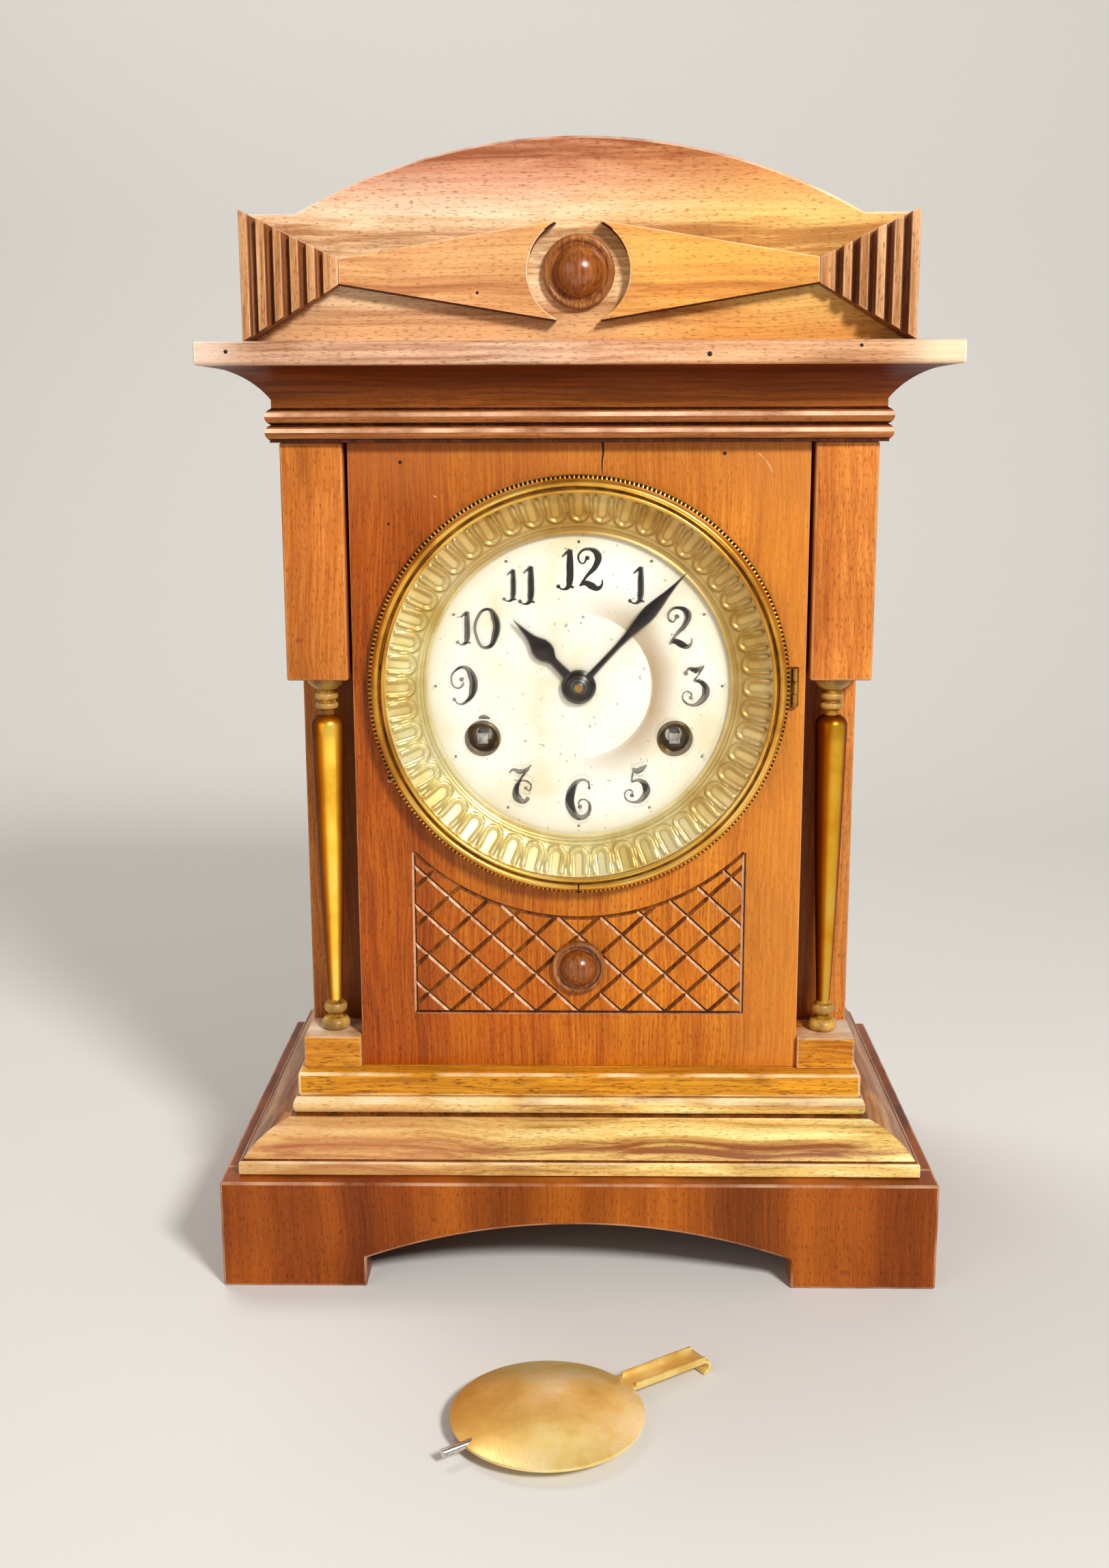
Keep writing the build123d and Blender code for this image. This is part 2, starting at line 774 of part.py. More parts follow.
centre = (0.0, zc)
going = (winding_x, winding_z)
strike = (-winding_x, winding_z)
second = meeting(going, mesh(great_teeth, pinion_leaves, great_module),
                 centre, mesh(second_teeth, pinion_leaves, second_module))
third = step_from(centre, mesh(centre_teeth, pinion_leaves, centre_module), third_bearing)
escape = (0.0, third[1] + math.sqrt(mesh(third_teeth, pinion_leaves, third_module) ** 2 - third[0] ** 2))
pin_arbor = step_from(strike, mesh(strike_great_teeth, pinion_leaves, strike_great_module), strike_bearing)
locking = step_from(pin_arbor, mesh(pin_teeth, pinion_leaves, pin_module), pin_bearing)
fly = step_from(locking, mesh(locking_teeth, pinion_leaves, locking_module), locking_bearing)
hammer = (-hammer_x, zc + hammer_z)
anchor = (0.0, escape[1] + escape_radius / math.cos(math.radians(pallet_span / 2)))
motion_distance = mesh(minute_teeth, cannon_teeth, motion_module)
minute_stud = (0.0, zc - motion_distance)
hour_module = 2 * motion_distance / (hour_teeth + minute_leaves)


def level(offset):
    return train_front + offset


def toothed(place, teeth, module, y, other, arms=4, thickness=wheel_thickness, rim_depth=0.0):
    sketch = wheel_outline(teeth, module, heading(place, other))
    rim = teeth * module / 2 - max((wheel_root + 2.4) * module, rim_depth)
    if arms:
        sketch = crossings(sketch, rim, 4.5, arms)
    return plate(Pos(*place) * sketch, y, thickness)


def leaved(place, module, y, thickness, other, leaves=pinion_leaves):
    sketch = pinion_outline(leaves, module, heading(place, other))
    return plate(Pos(*place) * sketch, y - pinion_overlap, thickness + 2 * pinion_overlap)


def arbor(place, radius=arbor_radius):
    shaft = rod_y(*place, train_front + 0.4, train_back - 0.4, radius)
    return shaft + rod_y(*place, plate_front, movement_back, pivot_radius)


def going_train():
    second_wheel = arbor(second)
    second_wheel += toothed(second, second_teeth, second_module, level(level_second), centre)
    second_wheel += leaved(second, great_module, level(level_great), great_thickness, going)

    centre_end = level(level_centre) + wheel_thickness + 1.5
    centre_wheel = rod_y(*centre, minute_hand_front - 1.4, centre_end, centre_arbor_radius)
    centre_wheel += rod_y(*centre, centre_end, train_back - 0.4, centre_tail_radius)
    centre_wheel += rod_y(*centre, train_back - 0.4, movement_back, pivot_radius)
    centre_wheel += leaved(centre, second_module, level(level_second), wheel_thickness, second)
    centre_wheel += toothed(centre, centre_teeth, centre_module, level(level_centre), third)
    cannon = pinion_outline(cannon_teeth, motion_module, heading(centre, minute_stud))
    centre_wheel += plate(Pos(*centre) * cannon, plate_front - 3.6, 3.2)

    third_wheel = arbor(third)
    third_wheel += leaved(third, centre_module, level(level_centre), wheel_thickness, centre)
    third_wheel += toothed(third, third_teeth, third_module, level(level_third), escape)

    saw = []
    for tooth in range(escape_teeth):
        turn = 360 * tooth / escape_teeth + 90
        saw.append(polar(escape_radius - escape_depth, turn + 0.4))
        saw.append(polar(escape_radius, turn + 5.4))
        saw.append(polar(escape_radius, turn + 6.4))
    escape_wheel = arbor(escape)
    escape_wheel += leaved(escape, third_module, level(level_third), wheel_thickness, third)
    crossed = crossings(outline(saw), escape_radius - 2 * escape_depth, 3.6)
    escape_wheel += plate(Pos(*escape) * crossed, level(level_escape), escape_thickness)
    return {"second_wheel": second_wheel, "centre_wheel": centre_wheel, "third_wheel": third_wheel,
            "escape_wheel": escape_wheel}


def great_wheel(place, teeth, module, other):
    """Great wheel, running free on its winding arbor, with the click that holds the ratchet."""
    wheel = toothed(place, teeth, module, level(level_great), other, arms=0, thickness=great_thickness)
    reach = ratchet_radius + 0.4
    click = outline([(reach, -1.0), (reach + 1.4, -1.0), (reach + 5.0, 5.0), (reach + 3.0, 7.0)])
    click += Pos(reach + 4.0, 6.0) * Circle(2.2)
    wheel += plate(Pos(*place) * click, level(level_ratchet) + 0.6, level_great - level_ratchet - 0.6)
    bore = winding_arbor_radius + running_clearance
    return wheel - rod_y(*place, level(level_ratchet), level(level_great) + 4, bore)


def winding_arbor(place):
    """Winding arbor with its square, spring hub and ratchet wheel."""
    saw = []
    for tooth in range(ratchet_teeth):
        turn = 360 * tooth / ratchet_teeth
        saw += [polar(ratchet_radius, turn), polar(ratchet_radius - 1.6, turn + 3.0)]
    shaft = rod_y(*place, plate_front - 0.6, train_back - 0.4, winding_arbor_radius)
    shaft += rod_y(*place, train_back - 0.4, movement_back + 1.0, winding_pivot_radius)
    hub_radius = spring_inner - spring_strip / 2 - 0.3
    shaft += rod_y(*place, level(level_spring), level(level_spring) + spring_width, hub_radius)
    shaft += plate(Pos(*place) * outline(saw), level(level_ratchet) + 0.6, 1.8)
    key = plate(Pos(*place) * Rectangle(winding_square, winding_square), dial_front + 0.2,
                plate_front - 0.6 - dial_front - 0.2)
    return shaft + key


def striking_train():
    pin_wheel = arbor(pin_arbor)
    pin_wheel += leaved(pin_arbor, strike_great_module, level(level_great), great_thickness, strike)
    pin_rim = pin_teeth * pin_module / 2 - lifting_pin_circle + 2 * lifting_pin_radius
    pin_wheel += toothed(pin_arbor, pin_teeth, pin_module, level(level_second), locking, rim_depth=pin_rim)
    for pin in range(lifting_pins):
        spot = step_from(pin_arbor, lifting_pin_circle, 360 * (pin + 0.5) / lifting_pins)
        pin_wheel += rod_y(*spot, level(1.2), level(level_second), lifting_pin_radius)

    locking_wheel = arbor(locking)
    locking_wheel += leaved(locking, pin_module, level(level_second), wheel_thickness, pin_arbor)
    locking_wheel += toothed(locking, locking_teeth, locking_module, level(level_locking), fly)

    vane = arbor(fly)
    vane += leaved(fly, locking_module, level(level_locking), wheel_thickness, locking)
    vane += board(fly[0] - fly_half_width, fly[0] + fly_half_width, level(level_locking) + 4,
                  level(level_locking) + 4 + fly_length, fly[1] - 0.5, fly[1] + 0.5)

    notched = Circle(count_radius)
    turn = 0
    for hour in range(1, 13):
        turn += 360 * hour / 78
        notched -= Rot(0, 0, turn) * (Pos(count_radius, 0) * Rectangle(2 * count_notch, 1.6))
    notched -= Circle(winding_arbor_radius + 0.5)
    count = plate(Pos(*strike) * notched, level(level_great) + great_thickness, count_thickness)
    return {"pin_wheel": pin_wheel, "locking_wheel": locking_wheel, "fly": vane, "count_wheel": count}


def motion_work():
    minute_wheel = toothed(minute_stud, minute_teeth, motion_module, plate_front - minute_wheel_level,
                           centre, arms=0, thickness=motion_thickness)
    leaves = pinion_outline(minute_leaves, hour_module, heading(minute_stud, centre))
    minute_wheel += plate(Pos(*minute_stud) * leaves, plate_front - minute_pinion_level,
                          minute_pinion_level - minute_wheel_level)
    minute_wheel -= rod_y(*minute_stud, plate_front - minute_pinion_level - 1, plate_front,
                          stud_radius + running_clearance)
    hour_wheel = toothed(centre, hour_teeth, hour_module, plate_front - hour_wheel_level,
                         minute_stud, arms=0, thickness=motion_thickness)
    pipe_end = plate_front - hour_wheel_level + motion_thickness
    hour_wheel += rod_y(*centre, hour_hand_front - 0.5, pipe_end, pipe_radius)
    hour_wheel -= rod_y(*centre, hour_hand_front - 1, plate_front, cannon_bore)
    return {"minute_wheel": minute_wheel, "hour_wheel": hour_wheel}


# Movement frame
def plate_outline():
    return outline([(-plate_half_width, zc + plate_top), (plate_half_width, zc + plate_top),
                    (plate_half_width, zc - plate_shoulder), (plate_foot_half, zc - plate_bottom),
                    (-plate_foot_half, zc - plate_bottom), (-plate_half_width, zc - plate_shoulder)])


def frame_nodes():
    pivots = [second, third, escape, pin_arbor, locking, fly, hammer, anchor]
    holes = [(p, pivot_radius + running_clearance) for p in pivots]
    ahead = plate_outline()
    behind = plate_outline()
    for place, radius in holes:
        ahead -= Pos(*place) * Circle(radius)
        behind -= Pos(*place) * Circle(radius)
    ahead -= Pos(*centre) * Circle(centre_arbor_radius + running_clearance)
    behind -= Pos(*centre) * Circle(pivot_radius + running_clearance)
    for place in (going, strike):
        ahead -= Pos(*place) * Circle(winding_arbor_radius + running_clearance)
        behind -= Pos(*place) * Circle(winding_pivot_radius + running_clearance)
    front_plate = plate(ahead, plate_front, plate_thickness)
    front_plate += rod_y(*minute_stud, plate_front - stud_length, plate_front, stud_radius)
    back_plate = plate(behind, train_back, plate_thickness)
    # Cock that carries the pendulum, level with the anchor's arbor
    ax, az = anchor
    far = movement_back + pendulum_offset + 4.0
    cock = board(-4, 4, movement_back, far, az + 3.2, az + 4.8)
    cock += board(-3.2, 3.2, far - 1.6, far, az - 2.6, az + 4.8)
    cock -= rod_y(ax, az, far - 1.6, far, 0.8 + running_clearance)
    back_plate += cock

    pillars = []
    top_pillar_z = zc + plate_top - pillar_inset
    bottom_pillar_z = zc - plate_bottom + pillar_inset
    for x, z in ((top_pillar_x, top_pillar_z), (bottom_pillar_x, bottom_pillar_z)):
        for side in (-1, 1):
            post = rod_y(side * x, z, train_front, train_back, pillar_radius)
            pillars.append(post)
    brackets = []
    half = bracket_half
    top_z = zc + plate_top - half
    for side in (-1, 1):
        x = side * (plate_half_width - half)
        brackets.append(board(x - half, x + half, panel_back, plate_front, top_z - half, top_z + half))
        x = side * (plate_foot_half - half - 1)
        high = zc - panel_hole_radius - 1
        low = high - strap_foot
        seat = plate_front - strap_thickness
        strap = board(x - half, x + half, seat, plate_front, low, zc - plate_bottom + strap_lap)
        strap += board(x - half, x + half, panel_back, seat, low, high)
        brackets.append(strap)
    return {"front_plate": front_plate, "back_plate": back_plate,
            "plate_pillars": Compound(children=pillars), "movement_brackets": Compound(children=brackets)}


def spiral_path(outer, pitch, turns):
    """Half-turn arcs that shrink by half a pitch each, as (centre x, radius, start angle)."""
    arcs = []
    for half_turn in range(2 * turns):
        lower = half_turn % 2
        arcs.append((-lower * pitch / 2, outer - half_turn * pitch / 2, 180.0 * lower))
    return arcs


def least_gap(arcs, thickness):
    """Least gap between neighbouring turns of a spiral, measured on points."""
    points = []
    for order, (shift, radius, start) in enumerate(arcs):
        for step in range(13):
            x, z = polar(radius, start + 15 * step)
            points.append((order, x + shift, z))
    near = min(math.dist(p[1:], q[1:]) for p in points for q in points if q[0] >= p[0] + 2)
    return near - thickness


def spring_strip_face(arcs, thickness):
    half = thickness / 2
    outside = []
    inside = []
    for shift, radius, start in arcs:
        spots = [(start + turn) for turn in (0, 90, 180)]
        outside.append([(shift + polar(radius + half, a)[0], polar(radius + half, a)[1]) for a in spots])
        inside.append([(shift + polar(radius - half, a)[0], polar(radius - half, a)[1]) for a in spots])
    edges = [ThreePointArc(*arc) for arc in outside]
    edges.append(Line(outside[-1][2], inside[-1][2]))
    edges += [ThreePointArc(*reversed(arc)) for arc in reversed(inside)]
    edges.append(Line(inside[0][0], outside[0][0]))
    return make_face(Curve() + edges)


def spring_nodes():
    outer = spring_inner + spring_turns * spring_pitch
    arcs = spiral_path(outer, spring_pitch, spring_turns)
    print("mainspring least gap", round(least_gap(arcs, spring_strip), 2))
    strip = spring_strip_face(arcs, spring_strip)
    springs = [plate(Pos(*place) * strip, level(level_spring), spring_width) for place in (going, strike)]
    return {"mainsprings": Compound(children=springs)}


def escapement_nodes():
    ax, az = anchor
    half_span = pallet_span / 2
    y = level(level_escape)
    lift = escape_radius + pallet_clearance
    tip = (lift * math.sin(math.radians(half_span)), escape[1] + lift * math.cos(math.radians(half_span)))
    out = (tip[0] + 2.0, tip[1] + 0.6)
    arm = outline([tip, (tip[0] + 1.2, tip[1] - 0.9), out, (tip[0] + 1.4, az + 0.4), (0, az + 3.0),
                   (0, az + 0.6), (tip[0] - 0.6, az - 1.4)])
    bow = arm + mirror(arm, Plane.YZ) + Pos(ax, az) * Circle(2.6)
    verge = rod_y(ax, az, train_front + 0.4, train_back - 0.4, arbor_radius)
    verge += rod_y(ax, az, plate_front, movement_back + 3.4, pivot_radius)
    verge += plate(bow, y, 1.2)
    low = az - crutch_length
    crutch_y = movement_back + 2.6
    verge += rod_z(ax, crutch_y, low, az, 0.8)
    verge += board(-2.6, 2.6, crutch_y - 0.8, crutch_y + 0.8, low - 1.4, low)
    for side in (-1, 1):
        reach = leader_radius + 0.9
        verge += rod_y(side * reach, low - 0.7, crutch_y - 0.8, movement_back + pendulum_offset + 2.0, 0.7)

    py = movement_back + pendulum_offset
    top = board(-2.2, 2.2, py - 1.5, py + 1.5, az - 6, az + 2.2)
    top += rod_y(ax, az, py - 1.5, py + 4.0, 0.8)
    top += board(-0.25, 0.25, py - 2, py + 2, az - 18, az - 6)
    top += board(-2.2, 2.2, py - 1.5, py + 1.5, az - 23, az - 18)
    top += rod_z(0, py, az - leader_length, az - 23, leader_radius)
    top += rod_y(0, az - leader_length, py - 3, py + 3, leader_radius)
    return {"anchor": verge, "pendulum_leader": top}


def gong_nodes():
    y = level(gong_level)
    arcs = spiral_path(gong_radius, gong_pitch, gong_turns)
    print("gong least gap", round(least_gap(arcs, gong_wire), 2))
    shift, radius, _ = arcs[-1]
    end_x = shift + radius
    tail = Pos(end_x, gong_wire / 2) * Rectangle(gong_wire, gong_wire)
    bar = spring_strip_face(arcs, gong_wire) + tail
    coil = plate(Pos(0, gong_height) * bar, y - gong_wire / 2, gong_wire)
    stud = (end_x, gong_height + gong_wire)
    foot_y = y + gong_wire / 2 + 3.0
    near = stud[0] - gong_wire / 2 - gong_arm_lap
    far = stud[0] + gong_wire / 2 + 0.1
    arm_top = stud[1] + gong_arm_height
    arm_back = foot_y + gong_post_depth
    foot_back = foot_y + 2 * gong_post_depth
    holder = board(near, far, y - gong_wire / 2 - 2, arm_back, stud[1], arm_top)
    holder += board(near, far, foot_y, arm_back, case_bottom, arm_top)
    holder += board(stud[0] - gong_foot_half, stud[0] + gong_foot_half, foot_y - gong_post_depth, foot_back,
                    case_bottom, case_bottom + gong_foot_height)
    return {"gong": coil, "gong_block": holder}


def hammer_nodes():
    hx, hz = hammer
    y = level(gong_level)
    rod_x = -(gong_radius + gong_wire / 2 + gong_gap + hammer_head_length / 2)
    body = arbor(hammer)
    toward = heading(hammer, pin_arbor)
    gap = math.dist(hammer, pin_arbor) - lifting_pin_circle - lifting_pin_radius - 0.5
    ex, ez = step_from(hammer, gap, toward)
    nx, nz = polar(1.2, toward + 90)
    tail = outline([(hx + nx, hz + nz), (ex + nx / 2, ez + nz / 2), (ex - nx / 2, ez - nz / 2),
                    (hx - nx, hz - nz)])
    tail += Pos(hx, hz) * Circle(2.4)
    body += plate(tail, level(1.2), 1.6)
    body += rod_y(hx, hz, y - 2, y + 2, 2.4)
    lower = hz - 30
    bends = [(hx, y, hz), (hx, y, lower), (rod_x, y, lower - 14), (rod_x, y, gong_height)]
    wire = FilletPolyline(*bends, radius=hammer_bend)
    body += sweep(Plane(origin=(hx, y, hz), z_dir=(0, 0, -1)) * Circle(hammer_rod_radius), wire)
    head = Plane(origin=(rod_x, y, gong_height), x_dir=(0, 1, 0), z_dir=(1, 0, 0))
    body += head * Cylinder(hammer_head_radius, hammer_head_length)
    return {"hammer": body}


# Back door
def door_nodes():
    half = half_case - side_thickness
    door = board(-half + door_gap, half - door_gap, back - door_thickness, back,
                 case_bottom + door_gap, case_top - door_gap)
    axis_x = half - door_gap / 2
    axis_y = back + knuckle_radius + knuckle_gap
    fixed = []
    moving = []
    middle = (case_bottom + case_top) / 2
    third_part = hinge_height / 3
    clear_radius = knuckle_radius + knuckle_gap
    for z in (middle - hinge_spread / 2, middle + hinge_spread / 2):
        low = z - hinge_height / 2
        pin = rod_z(axis_x, axis_y, low, low + hinge_height, hinge_pin_radius)
        for start in (low, low + 2 * third_part):
            pin += rod_z(axis_x, axis_y, start, start + third_part, knuckle_radius)
        high = low + hinge_height
        leaf = board(axis_x + knuckle_gap, axis_x + hinge_leaf_width, back, back + hinge_leaf, low, high)
        leaf -= rod_z(axis_x, axis_y, low + third_part - 0.2, low + 2 * third_part + 0.2, clear_radius)
        fixed.append(pin + leaf)
        knuckle = rod_z(axis_x, axis_y, low + third_part + 0.2, low + 2 * third_part - 0.2, knuckle_radius)
        flap = board(axis_x - hinge_leaf_width, axis_x - knuckle_gap, back, back + hinge_leaf, low, high)
        for start in (low, low + 2 * third_part):
            flap -= rod_z(axis_x, axis_y, start - 0.2, start + third_part + 0.2, clear_radius)
        knuckle += flap
        knuckle -= rod_z(axis_x, axis_y, low, low + hinge_height, hinge_pin_radius + running_clearance)
        moving.append(knuckle)
    pivot = (-(half + side_thickness / 2), middle)
    bar = Pos(*pivot) * (Rectangle(button_width, button_length - button_width)
                         + Pos(0, (button_length - button_width) / 2) * Circle(button_width / 2)
                         + Pos(0, -(button_length - button_width) / 2) * Circle(button_width / 2))
    bar -= Pos(*pivot) * Circle(1.5 + running_clearance)
    button = plate(bar, back + 0.3, button_thickness)
    screw = rod_y(*pivot, back, back + 0.3 + button_thickness + 0.2, 1.5)
    screw += rod_y(*pivot, back + button_thickness + 0.5, back + button_thickness + 1.5, 2.8)
    return {"back_door": door, "door_hinges": Compound(children=fixed),
            "door_hinge_leaves": Compound(children=moving), "door_button": button, "button_screw": screw}


# Pendulum bob, taken off and lying on its back
def bob_nodes():
    ground = Pos(bob_x, bob_y, 0) * Rot(0, 0, bob_angle)
    rim_low = bob_belly
    rim_high = bob_belly + bob_rim
    crown = rim_high + bob_crown
    lens = make_face(
        dome_line(bob_radius, rim_low, 0)
        + Line((bob_radius, rim_low), (bob_radius, rim_high))
        + dome_line(bob_radius, rim_high, crown)
        + Line((0, crown), (0, 0)))
    disc = revolve(Plane.XZ * lens, Axis.Z)
    middle = (rim_low + rim_high) / 2
    slot = board(0, bob_radius + 1, -hook_width / 2, hook_width / 2,
                 middle - hook_sheet / 2, middle + hook_sheet / 2)
    bore = Plane(origin=(0, 0, middle), x_dir=(0, 1, 0), z_dir=(-1, 0, 0)) * Cylinder(
        bob_rod_radius, bob_radius + 1, align=(Align.CENTER, Align.CENTER, Align.MIN))
    disc = disc - slot - bore

    bend = hook_reach - hook_roll - hook_sheet / 2
    roll_centre = (bend, middle - hook_roll)
    path = Line((0, middle), (bend, middle)) + CenterArc(roll_centre, hook_roll, 90, -200)
    side = Plane.XZ.offset(hook_width / 2)
    strip = extrude(side * trace(path, hook_sheet), -hook_width)
    for edge in (-1, 1):
        y = edge * (hook_width / 2 - 0.5)
        strip += board(bob_radius + 1.0, bend, y - 0.5, y + 0.5, middle, middle + 1.9)
    shank = Plane(origin=(0, 0, middle), x_dir=(0, 1, 0), z_dir=(-1, 0, 0)) * Cylinder(
        bob_rod_radius, bob_rod_reach, align=(Align.CENTER, Align.CENTER, Align.MIN))
    return {"bob_disc": ground * disc, "bob_hook": ground * strip, "bob_rod": ground * shank}


nodes = {}
for group in (plinth_nodes, base_nodes, case_nodes, column_nodes, cornice_nodes, pediment_nodes, bezel_nodes,
              dial_nodes, hand_nodes, going_train, striking_train, motion_work, frame_nodes, spring_nodes,
              escapement_nodes, gong_nodes, hammer_nodes, door_nodes, bob_nodes):
    nodes.update(group())
nodes["going_great_wheel"] = great_wheel(going, great_teeth, great_module, second)
nodes["strike_great_wheel"] = great_wheel(strike, strike_great_teeth, strike_great_module, pin_arbor)
nodes["going_winding_arbor"] = winding_arbor(going)
nodes["strike_winding_arbor"] = winding_arbor(strike)

os.makedirs("parts", exist_ok=True)
for name, shape in nodes.items():
    export_step(shape, f"parts/{name}.step")
print(len(nodes), "nodes")
print("going", going, "second", second, "third", third, "escape", escape, "anchor", anchor)
print("pin arbor", pin_arbor, "locking", locking, "fly", fly)
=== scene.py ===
import json
import math

import bmesh
import bpy
from mathutils import Matrix, Vector


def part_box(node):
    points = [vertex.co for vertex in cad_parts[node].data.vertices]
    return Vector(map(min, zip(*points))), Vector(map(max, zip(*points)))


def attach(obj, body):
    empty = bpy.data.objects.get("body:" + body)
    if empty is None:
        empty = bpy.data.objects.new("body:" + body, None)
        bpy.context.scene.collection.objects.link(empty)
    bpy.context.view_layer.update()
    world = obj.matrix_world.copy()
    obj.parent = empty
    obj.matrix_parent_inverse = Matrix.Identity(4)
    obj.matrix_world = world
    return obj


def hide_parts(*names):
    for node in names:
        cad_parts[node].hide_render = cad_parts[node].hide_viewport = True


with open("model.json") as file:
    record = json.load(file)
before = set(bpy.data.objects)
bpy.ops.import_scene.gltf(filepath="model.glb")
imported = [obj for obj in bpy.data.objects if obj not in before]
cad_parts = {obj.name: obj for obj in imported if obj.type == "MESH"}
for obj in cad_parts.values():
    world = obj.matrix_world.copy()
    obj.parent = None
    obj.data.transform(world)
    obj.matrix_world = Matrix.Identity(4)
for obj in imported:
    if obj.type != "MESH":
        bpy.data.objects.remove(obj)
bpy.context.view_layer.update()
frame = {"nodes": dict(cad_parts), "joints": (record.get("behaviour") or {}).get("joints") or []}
nodes = frame["nodes"]
places = {joint["name"]: Vector(joint.get("pos_m") or (0, 0, 0)) for joint in frame["joints"]}
mm = 0.001
weld = 0.002 * mm  # points closer than this are one point
dialCentre = places["minute_turn"]
alongY = Vector((0, 1, 0))
alongZ = Vector((0, 0, 1))


# colours are written as sRGB hex and turned to linear here
def toLinear(hexCode):
    channels = [int(hexCode[i:i + 2], 16) / 255 for i in (1, 3, 5)]
    linear = [c / 12.92 if c <= 0.04045 else ((c + 0.055) / 1.055) ** 2.4 for c in channels]
    return (*linear, 1.0)


# one node with its settings, and its inputs as values or links
def addNode(tree, kind, inputs=None, **settings):
    node = tree.nodes.new("ShaderNode" + kind)
    for name, value in settings.items():
        setattr(node, name, value)
    for socket, value in (inputs or {}).items():
        if isinstance(value, bpy.types.NodeSocket):
            tree.links.new(value, node.inputs[socket])
        else:
            node.inputs[socket].default_value = value
    return node


def startMaterial(name):
    material = bpy.data.materials.new(name)
    material.use_nodes = True
    tree = material.node_tree
    tree.nodes.clear()
    return material, tree, addNode(tree, "TexCoord").outputs["Object"]


def setRamp(ramp, stops):
    elements = ramp.color_ramp.elements
    while len(elements) < len(stops):
        elements.new(0.5)
    for element, (position, hexCode) in zip(elements, stops):
        element.position = position
        element.color = toLinear(hexCode)


def closeMaterial(tree, shader):
    addNode(tree, "OutputMaterial", {"Surface": shader.outputs["BSDF"]})


# a slow change of tint along one axis between two places in millimetres, ragged where the clouds are
def addFade(tree, coord, clouds, colour, axis, start, end, tint, amount, blend="MULTIPLY"):
    ragged = 0.5 * (end - start)
    axes = addNode(tree, "SeparateXYZ", {0: coord})
    way = addNode(tree, "Math", {
        0: clouds.outputs[0], 1: ragged * mm, 2: axes.outputs[axis]}, operation="MULTIPLY_ADD")
    share = addNode(tree, "MapRange", {
        "Value": way.outputs[0], "From Min": (start + ragged / 2) * mm, "From Max": (end + ragged / 2) * mm,
        "To Max": amount}, interpolation_type="SMOOTHSTEP")
    tinted = addNode(tree, "Mix", {
        0: share.outputs[0], 6: colour, 7: toLinear(tint)}, data_type="RGBA", blend_type=blend)
    return tinted.outputs[2]


# what a wood has where it says nothing else, with sizes in millimetres;
# the pores are drawn coarser than real ones, so that they show
woodLook = {"stretch": 0.022, "poreStretch": 0.2, "wave": 60, "sway": 7, "shift": (0, 0, 0), "banding": 0.45,
            "stops": (0.37, 0.5, 0.63), "pore": 0.5, "poreFrom": 0.56, "poreTo": 0.70, "poreDepth": 0.55,
            "cloud": 48, "cloudFrom": 0.3, "cloudTo": 0.7, "shadeDark": 0.84, "shadePale": 1.14,
            "rubPatch": 16, "rubFrom": 0.30, "rubTo": 0.66, "rub": 0.6, "gloss": 0.36, "duller": 0.10,
            "glossier": 0.07, "poreSink": -0.8, "relief": 0.22, "reliefDepth": 0.25, "shine": 0.22,
            "coat": 0.05, "coatRough": 0.2, "fades": ()}


